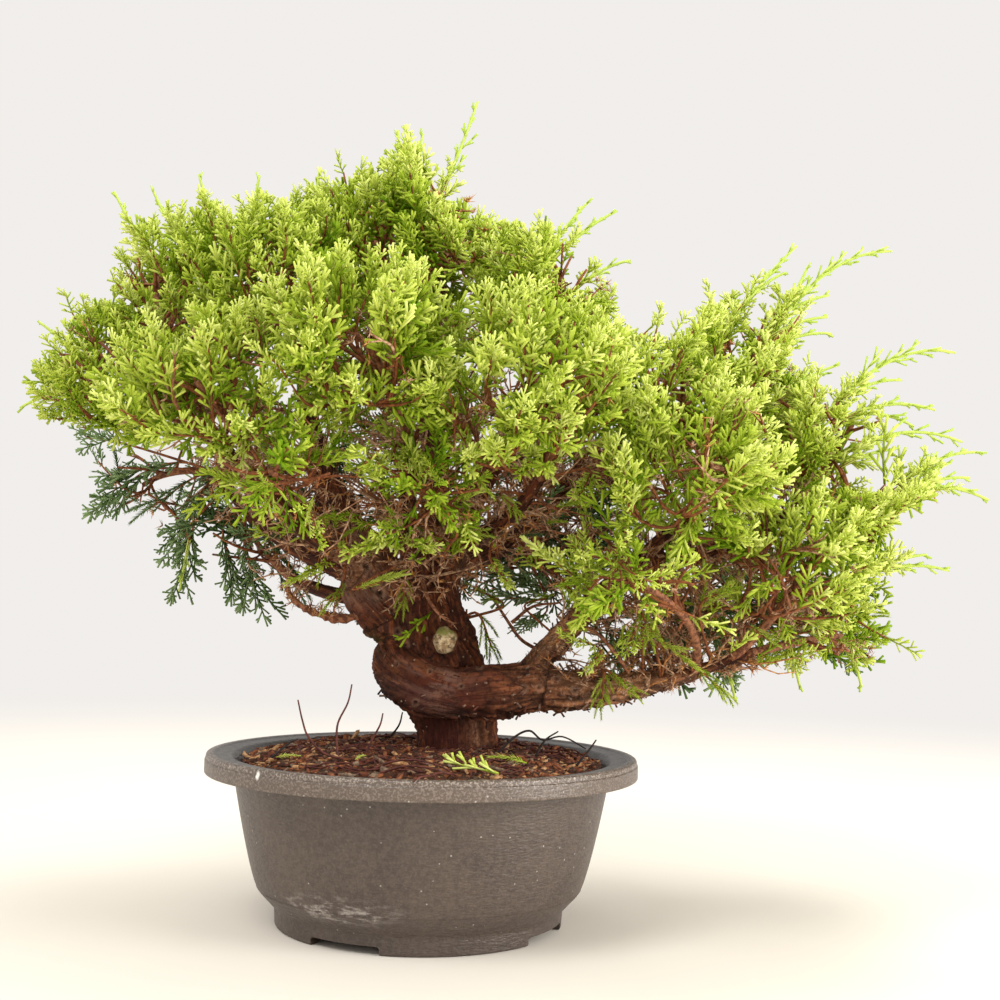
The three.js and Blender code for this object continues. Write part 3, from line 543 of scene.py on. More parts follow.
def tube(points, radii, sides):
    """A closed tapering tube along points."""
    points = np.asarray(points, float)
    count = len(points)
    radii = np.broadcast_to(radii, (count,))
    heading = unit(np.gradient(points, axis=0))
    aside = np.zeros(3)
    aside[np.argmin(np.abs(points[-1] - points[0]))] = 1
    side = unit(np.cross(heading, aside))
    up = np.cross(side, heading)
    turn = np.arange(sides) * 2 * math.pi / sides
    ring = np.cos(turn)[None, :, None] * side[:, None] - np.sin(turn)[None, :, None] * up[:, None]
    corners = points[:, None] + radii[:, None, None] * ring
    ids = np.arange(count * sides).reshape(count, sides)
    after = np.roll(ids, -1, axis=1)
    a, b, c, d = ids[:-1], after[:-1], after[1:], ids[1:]
    walls = np.stack([np.stack([a, b, c], -1), np.stack([a, c, d], -1)]).reshape(-1, 3)
    foot, tip = count * sides, count * sides + 1
    ends = [np.stack([after[0], ids[0], np.full(sides, foot)], -1)]
    ends.append(np.stack([ids[-1], after[-1], np.full(sides, tip)], -1))
    return np.vstack([corners.reshape(-1, 3), points[:1], points[-1:]]), np.vstack([walls, *ends])


def turned_from_x(way, roll=0.0):
    """Three axes as rows, the first along way, the others turned about it by roll."""
    way = unit(way)
    side = np.cross([0, 0, 1], way)
    if np.linalg.norm(side) < 1e-3:
        side = np.array([0, 1.0, 0])
    side = unit(side)
    up = np.cross(way, side)
    across, over = math.cos(roll), math.sin(roll)
    return np.array([way, across * side + over * up, across * up - over * side])


def any_way(random):
    """A direction by chance, all round."""
    return unit(random.normal(0, 1, 3))


def leaning(way, angle, turn):
    """A direction that leans away from way by angle, to the side that turn gives."""
    x, y, z = turned_from_x(way)
    return math.cos(angle) * x + math.sin(angle) * (math.cos(turn) * y + math.sin(turn) * z)


# Sprays of foliage. Each stands along +X from its root, and is made once and copied many times.
FINGER_FACES = np.array([
    [0, 2, 1], [3, 4, 5], [0, 1, 3], [1, 4, 3], [1, 2, 4], [2, 5, 4], [2, 0, 5], [0, 3, 5],
])
NEEDLE_FACES = np.array([[0, 2, 1], [0, 1, 3], [1, 2, 3], [2, 0, 3]])
SHOOT_RADIUS = 0.67
FAN_LENGTH = 14
SPRAY_LENGTH = 22
CORE, SIDE, TIP = 0, 1, 2


def finger(root, way, length, radius, roll=0.0):
    """One shoot of scale leaves: a slim finger with a blunt tip."""
    x, y, z = turned_from_x(way, roll)
    turn = np.arange(6)[[0, 2, 4, 1, 3, 5]] * math.pi / 3
    ring = np.cos(turn)[:, None] * y + np.sin(turn)[:, None] * z
    size = radius * np.array([0.8, 0.8, 0.8, 1.0, 1.0, 1.0])[:, None]
    along = length * np.array([0, 0, 0, 1, 1, 1])[:, None]
    return root + along * x + size * ring, FINGER_FACES


def needle(root, way, length, radius, roll=0.0):
    """One needle: a three-sided spike."""
    x, y, z = turned_from_x(way, roll)
    turn = np.arange(3) * 2 * math.pi / 3
    ring = root + radius * (np.cos(turn)[:, None] * y + np.sin(turn)[:, None] * z)
    return np.vstack([ring, root + length * x]), NEEDLE_FACES


def scale_spray(random, length, nodes, side_length, opening, forks):
    """A spray: side shoots that leave a bending axis by turns, most of them forked."""
    radius = SHOOT_RADIUS * MM
    bend = random.uniform(-0.13, 0.13, 2) * length
    rise = random.uniform(-1.5, 0.5)
    axis = bowed([0, 0, 0], metres([length, *bend]), metres([0, -bend[0] / 3, rise]), 6)
    shapes = [(tube(axis.points[::3], np.linspace(0.9, 0.7, 3) * radius, 3), CORE)]
    for k in range(nodes):
        share = mix(0.08, 0.9, k / (nodes - 1))
        turn = k * math.pi + random.normal(0, 0.75)
        way = leaning(axis.heading(share), opening * random.uniform(0.75, 1.25), turn)
        reach = side_length * MM * mix(1.1, 0.8, share) * random.uniform(0.75, 1.15)
        root = axis.at(share)
        shapes.append((finger(root, way, reach, radius, random.uniform(0, 2)), SIDE if k % 2 else TIP))
        for j in range(forks if share < 0.65 else 1):
            if random.random() < 0.2:
                continue
            aside = turn + (-1) ** (j + k) * math.pi / 2 + random.normal(0, 0.6)
            out = leaning(way, random.uniform(0.55, 0.95), aside)
            spur = reach * random.uniform(0.45, 0.65)
            start = root + random.uniform(0.3, 0.6) * reach * way
            fork = finger(start, out, spur, radius * 0.95, random.uniform(0, 2))
            shapes.append((fork, TIP if j else SIDE))
    for lean, turn in ((0.1, 0), (0.5, random.uniform(0, 6))):
        way = leaning(axis.heading(1), lean, turn)
        end = finger(axis.at(0.9), way, random.uniform(5, 7.5) * MM, radius, random.uniform(0, 2))
        shapes.append((end, TIP))
    return shapes


def needle_spray(random, whorls):
    """A young tuft of needles that stand in threes along its axis."""
    length = SPRAY_LENGTH * MM
    axis = bowed([0, 0, 0], [length, random.uniform(-2, 2) * MM, 0], [0, 0, 1.2 * MM], 6)
    shapes = [(tube(axis.points[::3], np.linspace(0.55, 0.35, 3) * MM, 3), CORE)]
    for k in range(whorls * 3):
        share = mix(0.12, 1.0, (k // 3) / (whorls - 1))
        turn = k * 2 * math.pi / 3 + (k // 3) * 0.9 + random.normal(0, 0.3)
        way = leaning(axis.heading(share), mix(0.95, 0.35, share) * random.uniform(0.75, 1.15), turn)
        size = mix(5.6, 3.8, share) * MM * random.uniform(0.75, 1.15)
        spike = needle(axis.at(share), way, size, 0.45 * MM, random.uniform(0, 2))
        shapes.append((spike, SIDE if k % 2 else TIP))
    return shapes


def template(shapes):
    """A spray's corners, its faces and the kind of each face."""
    corners, faces = joined([shape for shape, _ in shapes])
    kinds = np.concatenate([np.full(len(shape[1]), kind) for shape, kind in shapes])
    return corners, faces, kinds


def make_templates():
    random = np.random.default_rng(SEED)
    fans = [template(scale_spray(random, FAN_LENGTH, 7, 7.0, 0.82, 1)) for _ in range(16)]
    slender = [template(scale_spray(random, SPRAY_LENGTH, 8, 8.6, 0.66, 1)) for _ in range(8)]
    young = [template(needle_spray(random, 14)) for _ in range(6)]
    return {"fan": fans, "slender": slender, "young": young}


templates = make_templates()


# Space of each mass
Mass = namedtuple("Mass", "middle half_size bough leaves_bough dense bright zone")
masses = [Mass(*plan) for plan in MASSES.values()]
mass_names = list(MASSES)
middles = metres([mass.middle for mass in masses])
half_sizes = MM * SPACE_GROWTH * np.array([mass.half_size for mass in masses], float)
heart = metres(CROWN_HEART)


def how_far_out(point):
    """How far a place lies from the middle of every mass, by that mass's own sizes."""
    return np.linalg.norm((point - middles) / half_sizes, axis=1)


def in_space(order, point, limit, slack=0.0):
    """True where a place is in a mass's own space, nearer to it than to any other."""
    far = how_far_out(point)
    own = far[order]
    far[order] = np.inf
    return own <= limit and own < far.min() + slack


stretch_starts, stretch_ends, stretch_radii = [], [], []
for limb_course, limb_radius in limbs.values():
    shares = np.linspace(0, 1, 13)
    stretch_starts.append(limb_course.at(shares[:-1]))
    stretch_ends.append(limb_course.at(shares[1:]))
    stretch_radii.append(np.maximum(limb_radius(shares[:-1]), limb_radius(shares[1:])))
stretch_starts = np.vstack(stretch_starts)
stretch_runs = np.vstack(stretch_ends) - stretch_starts
stretch_radii = np.concatenate(stretch_radii)
stretch_squares = (stretch_runs**2).sum(1)


def clear_of_limbs(point, room):
    """True where a place is further than room from the bark of every limb."""
    share = np.clip(((point - stretch_starts) * stretch_runs).sum(1) / stretch_squares, 0, 1)
    gaps = np.linalg.norm(point - stretch_starts - share[:, None] * stretch_runs, axis=1) - stretch_radii
    return gaps.min() > room


def in_box(point, room=0.0):
    """True where a place is inside the box of the solids, by room."""
    return bool(np.all(point > box_low + room) and np.all(point < box_high - room))


outline_from = metres(OUTLINE)
outline_runs = np.roll(outline_from, -1, axis=0) - outline_from
front_eye = metres(FRONT_EYE)


def seen_at(point):
    """Where a place looks to be, from the front, on the plane through the pot's middle."""
    away = point - front_eye
    return (front_eye + away * (-front_eye[1] / away[1]))[[0, 2]]


def in_views(point, views):
    """True where a place looks to be inside any of the given ovals, from the front."""
    seen = seen_at(point) / MM
    return any(math.hypot(*((seen - centre) / half)) < 1 for centre, half in views)


def in_view_outline(point):
    """True where a place looks to be inside the crown's outline and out of its gaps, from the front."""
    x, z = seen_at(point)
    low = outline_from[:, 1] > z
    high = outline_from[:, 1] + outline_runs[:, 1] > z
    reach = outline_from[:, 0] + (z - outline_from[:, 1]) / (outline_runs[:, 1] + 1e-12) * outline_runs[:, 0]
    if np.count_nonzero((low != high) & (x < reach)) % 2 == 0:
        return False
    return not in_views(point, SKY_GAPS)


def in_hollow(point):
    """True near the front, where the inner wood shows through the crown."""
    return point[1] < HOLLOW_DEPTH * MM and in_views(point, HOLLOW_VIEWS)


# Crown: what grows is gathered here, sprays as places for the templates
GREENS = 9
UP = np.array([0, 0, 1.0])
Spray = namedtuple("Spray", "order kind variety root basis bright")
placed_sprays = []
twigs = Gathered()
OLD_TWIG, YOUNG_TWIG, DEAD_GREY, DEAD_ORANGE = range(4)
RUNNER_STEM, RUNNER_TIP = range(2)
dead_wood = Gathered()
dead_needles = Gathered()
runner_shapes = Gathered()
crown_random = np.random.default_rng(SEED + 1)
vary = crown_random.uniform


class Skeleton:
    """The wood of one mass that finer twigs may leave from."""

    def __init__(self):
        self.points, self.headings = [], []

    def add(self, course, shares):
        for share in shares:
            self.points.append(course.at(share))
            self.headings.append(course.heading(share))

    def nearest(self, target):
        """The place that a twig to the target leaves best: near, and not by turning back."""
        points, headings = np.array(self.points), np.array(self.headings)
        runs = target - points
        gaps = np.linalg.norm(runs, axis=1)
        bends = 1 - (runs * headings).sum(1) / np.maximum(gaps, 1e-6)
        best = (gaps * (1 + 0.9 * bends)).argmin()
        return points[best], headings[best]


def place_spray(order, root, way, size, kind, bright, loose=False):
    """Places a spray, or a smaller one where it would leave the crown's space."""
    length = (FAN_LENGTH if kind == "fan" else SPRAY_LENGTH) + 4
    variety = int(crown_random.integers(len(templates[kind])))
    basis = turned_from_x(way, vary(-1.2, 1.2)) * size
    for shrink in (1, 0.8, 0.64):
        corners = root + templates[kind][variety][0] @ basis * shrink
        tip = root + way * size * shrink * length * MM
        if not in_box(corners.min(0)) or not in_box(corners.max(0)) or not clear_of_limbs(tip, 1 * MM):
            continue
        seen_inside = in_view_outline(tip) and in_view_outline(tip + 2.5 * MM * UP)
        if loose or (how_far_out(tip).min() < CROWN_LIMIT and seen_inside and not in_hollow(tip)):
            placed_sprays.append(Spray(order, kind, variety, root, basis * shrink, bright))
            return True
    return False


def open_kind():
    """The kind of a spray in open foliage."""
    return "young" if crown_random.random() < 0.4 else "slender"


def grow_plume(order, skeleton, target, dense):
    """A leafy shoot that ends at the target: fans of fingers stand round it by turns, smaller to its tip."""
    rise = 0.1 if masses[order].zone == "low" else 0.6
    out = unit((target - middles[order]) / half_sizes[order])
    way = unit(0.45 * out + 0.5 * unit(target - heart) + rise * UP + crown_random.normal(0, 0.15, 3))
    length = vary(*PLUME_LENGTHS) * MM
    root, heading = skeleton.nearest(target - way * length)
    if np.linalg.norm(target - root) > PLUME_REACH * MM:
        return
    course = bent(root, heading, target, way, 12)
    if not clear_of_limbs(course.at(0.6), 0.5 * MM):
        return
    if not all(map(in_view_outline, course.at(PLUME_TESTS))):
        return
    skeleton.add(course, (0.25, 0.4))
    leafy = min(length, 0.85 * course.length)
    stands_out = crown_random.random() < 0.25
    size = vary(0.6, 0.8)
    tipped = place_spray(order, course.at(0.97), way, size, "fan" if dense else "slender", 0.8, stands_out)
    wood = course.points[::2] if tipped else course.points[:9:2]
    twigs.add(tube(wood, MM * np.linspace(*PLUME_RADII, len(wood)), 4), YOUNG_TWIG)
    count = max(2, int(leafy / ((FAN_STEP if dense else OPEN_STEP) * MM)))
    turn = vary(0, 6)
    for k in range(count):
        down = (k + 0.6) / count
        share = 1 - down * leafy / course.length
        turn += GOLDEN_ANGLE
        if crown_random.random() < mix(-0.7, 1.2, down):
            continue
        side = leaning(course.heading(share), mix(0.42, 0.85, down), turn)
        side = unit(side + 0.25 * rise * UP)
        size = mix(0.62, 1.18, down**0.8) * vary(0.85, 1.15)
        # Painted shade: fans low on the plume are dealt darker greens and those near its tip lighter ones
        if dense:
            place_spray(order, course.at(share), side, size, "fan", mix(0.8, -1.1, down))
        else:
            place_spray(order, course.at(share), side, 0.75 * size, open_kind(), mix(0.4, -0.4, down))


def plume_targets(order, count):
    """Places near a mass's surface, well apart, where its leafy shoots end."""
    middle, size = middles[order], half_sizes[order]
    outward = unit(middle - heart)
    apart = (size.prod() ** (1 / 3)) * 1.3 / math.sqrt(count)
    valleys = masses[order].dense
    found = []
    for _ in range(count * 60):
        way = any_way(crown_random)
        if way @ outward < -0.6:
            continue
        target = middle + way * size * mix(*PLUME_SHARES, crown_random.random() ** 0.4)
        if found and np.linalg.norm(np.array(found) - target, axis=1).min() < apart:
            continue
        if not in_space(order, target, SPACE_LIMIT, 0.1) or not in_view_outline(target):
            continue
        if not in_box(target, 2 * MM):
            continue
        in_valley = valleys and noise.noise(Vector(target / (VALLEY_SIZE * MM))) < VALLEY_DEPTH
        if in_hollow(target) or in_valley:
            continue
        if clear_of_limbs(target, 2 * MM):
            found.append(target)
            if len(found) == count:
                break
    return sorted(found, key=lambda place: np.linalg.norm(place - middle))


def grow_inner_sprays(order, skeleton):
    """Sprays deep inside a mass, which close it to the light, dealt dark greens as painted shade."""
    for _ in range(INNER_SPRAYS):
        way = any_way(crown_random)
        target = middles[order] + way * half_sizes[order] * vary(0.1, 0.5)
        if not in_view_outline(target) or not clear_of_limbs(target, 2 * MM):
            continue
        root, heading = skeleton.nearest(target)
        twigs.add(tube([root, (root + target) / 2, target], metres([0.6, 0.5, 0.4]), 3), YOUNG_TWIG)
        place_spray(order, target, unit(way + 0.3 * heading), vary(0.9, 1.25), "slender", -1.0)


def grow_mass(order):
    """Grows one mass by the rule of its solid, then further out: stem, twigs, leafy shoots and bare twigs."""
    mass = masses[order]
    dense = mass.dense
    middle, size = middles[order], half_sizes[order]
    draw = seeded(SEED + SEED_STEP * order)
    bough_course = limbs[mass.bough][0]
    start = bough_course.at(mass.leaves_bough)
    bow = bough_course.heading(mass.leaves_bough) * np.linalg.norm(start - middle) * STEM_BOW
    stem = bowed(start, middle + (middle - heart) * STEM_OVERREACH, bow)
    twigs.add(tube(stem.points[::2], stem_radius(np.linspace(0, 1, 13)), 6), OLD_TWIG)
    skeleton = Skeleton()
    skeleton.add(stem, np.linspace(0.4, 1, 5))
    outward = unit(middle - heart)
    count = TWIGS_DENSE if dense else TWIGS_OPEN
    for i in range(count):
        height = 1 - (2 * i + 1) / count
        ring = math.sqrt(1 - height * height)
        turn = i * GOLDEN_ANGLE + draw()
        way = unit([ring * math.cos(turn), ring * math.sin(turn), height + LIFT])
        for _ in range(SOURCE_DRAWS):
            draw()
        leaves = mix(*TWIG_LEAVES_STEM, draw())
        if way @ outward < INWARD_LIMIT:
            continue
        for reach in REACHES:
            target = middle + way * size * reach
            clear = in_space(order, target, SPACE_LIMIT) and clear_of_limbs(target, LIMB_CLEARANCE * MM)
            if clear and in_view_outline(target):
                grow_twig(skeleton, stem, leaves, target)
                break
    grow_inner_sprays(order, skeleton)
    usual = PLUMES_DENSE if dense else PLUMES_OPEN
    for target in plume_targets(order, PLUMES.get(mass_names[order], usual)):
        grow_plume(order, skeleton, target, dense)
    for _ in range(BARE_TWIGS if dense else 0):
        target = middle + any_way(crown_random) * size * vary(0.65, 0.95)
        if in_space(order, target, 1.0) and in_view_outline(target) and clear_of_limbs(target, 2 * MM):
            grow_bare_twig(skeleton, target)
    return skeleton


def grow_bare_twig(wood, target, reach=60):
    """A brown leafless twig from the nearest wood, with a fork and some dry needles."""
    root, heading = wood.nearest(target)
    if np.linalg.norm(target - root) > reach * MM:
        return
    course = bent(root, heading, target, unit(target - root), 6)
    if not in_view_outline(course.at(0.5)) or not in_view_outline(target + 9 * MM * UP):
        return
    look = int(crown_random.choice([OLD_TWIG, YOUNG_TWIG, DEAD_GREY]))
    dead_wood.add(tube(course.points[::2], MM * np.linspace(0.8, 0.36, 4), 4), look)
    way = leaning(course.heading(0.6), 0.6, vary(0, 6))
    fork = course.at(0.6) + way * vary(6, 14) * MM
    if in_box(fork, MM):
        dead_wood.add(tube([course.at(0.6), fork], metres([0.5, 0.3]), 3), look)
    for place in (target, fork):
        grow_dead_needles(place, course.heading(1), 3)


def grow_twig(skeleton, stem, leaves, target):
    """A main twig from the stem two thirds of the way to its target."""
    start = stem.at(leaves * vary(0.75, 1.0))
    run = target - start
    sway = leaning(run, math.pi / 2, vary(0, 6)) * 0.07 * np.linalg.norm(run)
    course = bowed(start, start + run * 0.66, sway, 10)
    twigs.add(tube(course.points[::2], MM * np.linspace(*TWIG_RADII, 6), 4), YOUNG_TWIG)
    skeleton.add(course, np.linspace(0.25, 1, 5))


def grow_runner(order, skeleton, foot, tip, arch):
    """A long slim shoot that stands out of the crown, leafy at its foot and forked towards its tip."""
    foot, tip = metres(foot), metres(tip)
    length = np.linalg.norm(tip - foot)
    root, heading = skeleton.nearest(foot)
    gap = np.linalg.norm(foot - root)
    joint = bowed(root, foot, heading * gap * 0.1, 4)
    twigs.add(tube(joint.points, MM * np.linspace(1.0, 0.8, 5), 4), YOUNG_TWIG)
    course = bowed(foot, tip, arch * length * UP, 16)
    twigs.add(tube(course.at(np.linspace(0, 0.3, 4)), MM * np.linspace(1.12, 0.9, 4), 4), YOUNG_TWIG)
    stem = tube(course.at(np.linspace(0, 0.985, 12)), MM * np.linspace(1.05, 0.62, 12), 5)
    runner_shapes.add(stem, RUNNER_STEM)
    turn = vary(0, 6)
    leafy = int(length * RUNNER_LEAFY / (3.0 * MM))
    for k in range(leafy):
        share = mix(0.0, RUNNER_LEAFY, k / max(leafy - 1, 1))
        turn += GOLDEN_ANGLE
        way = unit(leaning(course.heading(share), mix(0.7, 0.4, share), turn) + 0.15 * UP)
        place_spray(order, course.at(share), way, mix(1.05, 0.5, share / RUNNER_LEAFY), "fan", 1.0, True)
    count = int(length * 0.6 / (5.2 * MM))
    for k in range(count):
        share = mix(0.34, 0.9, k / max(count - 1, 1))
        turn += math.pi + crown_random.normal(0, 0.5)
        way = leaning(course.heading(share), vary(0.3, 0.5), turn)
        start = course.at(share)
        size = mix(0.36 * length, 4 * MM, share) * vary(0.7, 1.1)
        if not in_box(start + way * size, 0.8 * MM):
            continue
        look = RUNNER_TIP if k % 2 else RUNNER_STEM
        runner_shapes.add(finger(start, way, size, 0.95 * SHOOT_RADIUS * MM), look)
        for fork in np.arange(0.3, 0.85, 4 * MM / size):
            side = leaning(way, 0.5, turn + 1.3 * (-1) ** int(fork * size / (4 * MM)))
            spur = mix(0.5, 0.25, fork) * size
            twin = finger(start + fork * size * way, side, spur, 0.85 * SHOOT_RADIUS * MM)
            runner_shapes.add(twin, RUNNER_TIP)
    for k in range(int(length * 0.5 / (RUNNER_BUMP_STEP * MM))):
        share = 0.45 + k * RUNNER_BUMP_STEP * MM / length
        turn += 2.0
        place = min(share, 0.97)
        way = leaning(course.heading(place), 0.45, turn)
        bump = finger(course.at(place), way, vary(1.8, 2.8) * MM, 0.6 * SHOOT_RADIUS * MM)
        runner_shapes.add(bump, RUNNER_TIP)
    runner_shapes.add(finger(course.at(0.97), course.heading(1), 0.03 * length, 0.66 * MM), RUNNER_STEM)


# Twigs on the boughs, inside and under the crown: many dead, some with a dark spray
def grow_dead_twig(root, way, length, radius):
    """A crooked leafless twig. Returns its tip and where it points."""
    points = [root]
    for _ in range(3):
        way = unit(way + crown_random.normal(0, 0.4, 3))
        points.append(points[-1] + way * length / 3)
    if not in_view_outline(points[-1]):
        return root, way
    look = DEAD_ORANGE if crown_random.random() < 0.2 else DEAD_GREY
    dead_wood.add(tube(points, MM * np.linspace(radius, 0.3, 4), 3), look)
    for point in points[1:]:
        if crown_random.random() < 0.7:
            grow_dead_needles(point, way, 4)
    return points[-1], way


def grow_dead_needles(root, way, count):
    """Dry needles that stand round one place."""
    if not in_box(root, 6 * MM):
        return
    look = DEAD_ORANGE if crown_random.random() < 0.25 else DEAD_GREY
    for _ in range(count):
        lean = leaning(way, vary(0.4, 1.5), vary(0, 6.28))
        size = vary(2.5, 5.5) * MM
        dead_needles.add(needle(root, lean, size, 0.38 * MM), look)


def grow_inner_twig(bough):
    """A dead twig with two forks that leaves a bough, now and then with a spray at its tip that is dealt a
    dark green as painted shade.
    """
    course, radius_at = limbs[bough]
    share = vary(0.12, 1.0)
    way = leaning(course.heading(share), vary(0.6, 1.5), vary(0, 6.28))
    foot = course.at(share) + way * radius_at(share) * 0.8
    length = vary(12, 40) * MM
    if not in_view_outline(foot + way * length) or not in_box(foot + way * length, 4 * MM):
        length *= 0.4
    if not clear_of_limbs(foot + way * length, 2 * MM) or not in_view_outline(foot + way * length):
        return
    tip, heading = grow_dead_twig(foot, way, length, vary(0.5, 0.95))
    for _ in range(2):
        place = foot + (tip - foot) * vary(0.3, 0.8)
        side = leaning(way, vary(0.6, 1.2), vary(0, 6.28))
        grow_dead_twig(place, side, length * vary(0.3, 0.6), 0.5)
    if crown_random.random() < 0.45 and in_view_outline(tip + heading * 20 * MM):
        order = int(how_far_out(tip).argmin())
        place_spray(order, tip, heading, vary(0.6, 0.95), open_kind(), -0.6, True)


skeletons = [grow_mass(mass_order) for mass_order in range(len(MASSES))]
for runner_mass, plans in RUNNERS.items():
    runner_order = mass_names.index(runner_mass)
    for plan in plans:
        grow_runner(runner_order, skeletons[runner_order], *plan)

TWIGGY_BOUGHS = {
    "right_low_bough": 2.0, "right_bough": 1.6, "right_back_bough": 1.4, "right_far_bough": 1.4,
    "left_leader": 0.6, "left_low_bough": 0.2, "left_back_bough": 0.35, "left_bough": 0.8,
}
for bough in BOUGHS:
    for _ in range(int(limbs[bough][0].length * INNER_TWIGS_PER_METRE * TWIGGY_BOUGHS.get(bough, 1.0))):
        grow_inner_twig(bough)
for mass_order in range(len(MASSES)):
    for _ in range(DRY_SPOTS):
        place = middles[mass_order] + any_way(crown_random) * half_sizes[mass_order] * 0.5
        place[2] -= 0.2 * half_sizes[mass_order][2]
        if in_space(mass_order, place, 1.0) and clear_of_limbs(place, 1 * MM) and in_view_outline(place):
            grow_dead_needles(place, unit(place - heart), 6)


all_wood = Skeleton()
for skeleton in skeletons:
    all_wood.points += skeleton.points
    all_wood.headings += skeleton.headings
for limb_course, _ in limbs.values():
    all_wood.add(limb_course, np.linspace(0.1, 1, 12))


def fill_view(centre, half, count, depths, leafy):
    """Brown twigs, some with a spray dealt a dark green as painted shade, that fill one part of the view from
    the front.
    """
    for _ in range(count):
        turn, out = vary(0, 6.28), math.sqrt(crown_random.random())
        x, z = MM * (np.array(centre) + out * np.array(half) * [math.cos(turn), math.sin(turn)])
        away = (MM * vary(*depths) - front_eye[1]) / -front_eye[1]
        target = front_eye + (np.array([x, 0, z]) - front_eye) * away
        if not in_box(target, 6 * MM) or not clear_of_limbs(target, 1 * MM):
            continue
        if how_far_out(target).min() > FILL_LIMIT:
            continue
        grow_bare_twig(all_wood, target, 70)
        if crown_random.random() < leafy:
            order = int(how_far_out(target).argmin())
            way = unit(target - heart + crown_random.normal(0, 0.05, 3))
            if in_view_outline(target + way * 22 * MM):
                place_spray(order, target, way, vary(0.8, 1.1), open_kind(), -1.6, True)


for oval in HOLLOW_VIEWS:
    fill_view(*oval, *TWIGS_IN_HOLLOW)
    fill_view(*oval, *TWIGS_BEHIND_HOLLOW)
for oval in FILL_VIEWS:
    fill_view(*oval, *TWIGS_IN_FILL)


def limb_surface(point):
    """The place just inside the bark of the nearest limb."""
    share = np.clip(((point - stretch_starts) * stretch_runs).sum(1) / stretch_squares, 0, 1)
    centres = stretch_starts + share[:, None] * stretch_runs
    nearest = (np.linalg.norm(point - centres, axis=1) - stretch_radii).argmin()
    return centres[nearest] + unit(point - centres[nearest]) * stretch_radii[nearest] * 0.8


def grow_sprig(foot, tip, kind, bright, mass="low_mid_front"):
    """A small leafy twig in front of the wood, grown from the nearest limb."""
    foot, tip = metres(foot), metres(tip)
    order = mass_names.index(mass)
    course = through([limb_surface(foot), foot, tip], 5)
    twigs.add(tube(course.points, MM * np.linspace(0.75, 0.42, len(course.points)), 4), YOUNG_TWIG)
    leafy = np.linalg.norm(tip - foot) / course.length
    scale = min(np.linalg.norm(tip - foot) / (14 * MM), 2.0)
    for k in range(SPRIG_SPRAYS):
        share = 1 - leafy * (1 - k / SPRIG_SPRAYS)
        way = leaning(unit(tip - foot), 0.5, k * math.pi + crown_random.normal(0, 0.5))
        place_spray(order, course.at(share), way, scale * vary(0.36, 0.5), kind, bright, True)
    place_spray(order, course.at(0.9), unit(tip - foot), 0.45 * scale, kind, bright + 0.3, True)


for sprig in SPRIGS + BACK_SPRIGS:
    grow_sprig(*sprig)
dead_branch = through(metres(DEAD_BRANCH), 6)
knob_count = len(dead_branch.points)
knobs = np.linspace(2.6, 1.1, knob_count) * vary(0.7, 1.35, knob_count)
dead_wood.add(tube(dead_branch.points, MM * knobs, 8), OLD_TWIG)
for place in np.linspace(0.3, 1, DEAD_BRANCH_TWIGS):
    side = leaning(dead_branch.heading(place), 1.1, vary(0, 6.28))
    grow_dead_twig(dead_branch.at(place), side, vary(3, 9) * MM, 0.8)
for route in LOOPS:
    loop = through(metres(route), 5)
    twigs.add(tube(loop.points, MM * np.linspace(1.0, 0.55, len(loop.points)), 5), OLD_TWIG)
    for place in np.linspace(0.3, 1, 4):
        grow_dead_needles(loop.at(place), loop.heading(place), 3)

# Clippings on the soil, in millimetres: place, way, size, kind and how bright
CLIPPINGS = [
    ([35, -82, 78.4], [-1, 0.62, 0.06], 1.0, "slender", 3.0),
    ([47, -60, 80.2], [-1, 0.4, 0.1], 0.75, "young", 0.4),
    ([-62, -42, 78.0], [1, 0.3, 0.05], 0.45, "young", 1.2),
    ([-26, -56, 79.5], [0.4, 1, 0.1], 0.4, "young", 1.5),
]
for place, way, size, kind, bright in CLIPPINGS:
    basis = turned_from_x(way, 0.1) * size
    placed_sprays.append(Spray(mass_names.index("low_mid_front"), kind, 0, metres(place), basis, bright))


# Painted light and shade in the foliage: how much light each spray gets, from how many others stand
# above and outside it, sets how dark a green it is dealt
LIGHT_CELL = 9 * MM
LIGHT_STEPS = [1.2, 2.4, 3.6, 5.0]
LIGHT_LOSS = 0.075
DARKEST_LEVEL = -1.45
LIGHT_LEVELS = 3.6
LEVEL_SCATTER = 0.5
SHADED_MASS_BELOW = 1.5
SHADE_GREEN_COUNT = 5


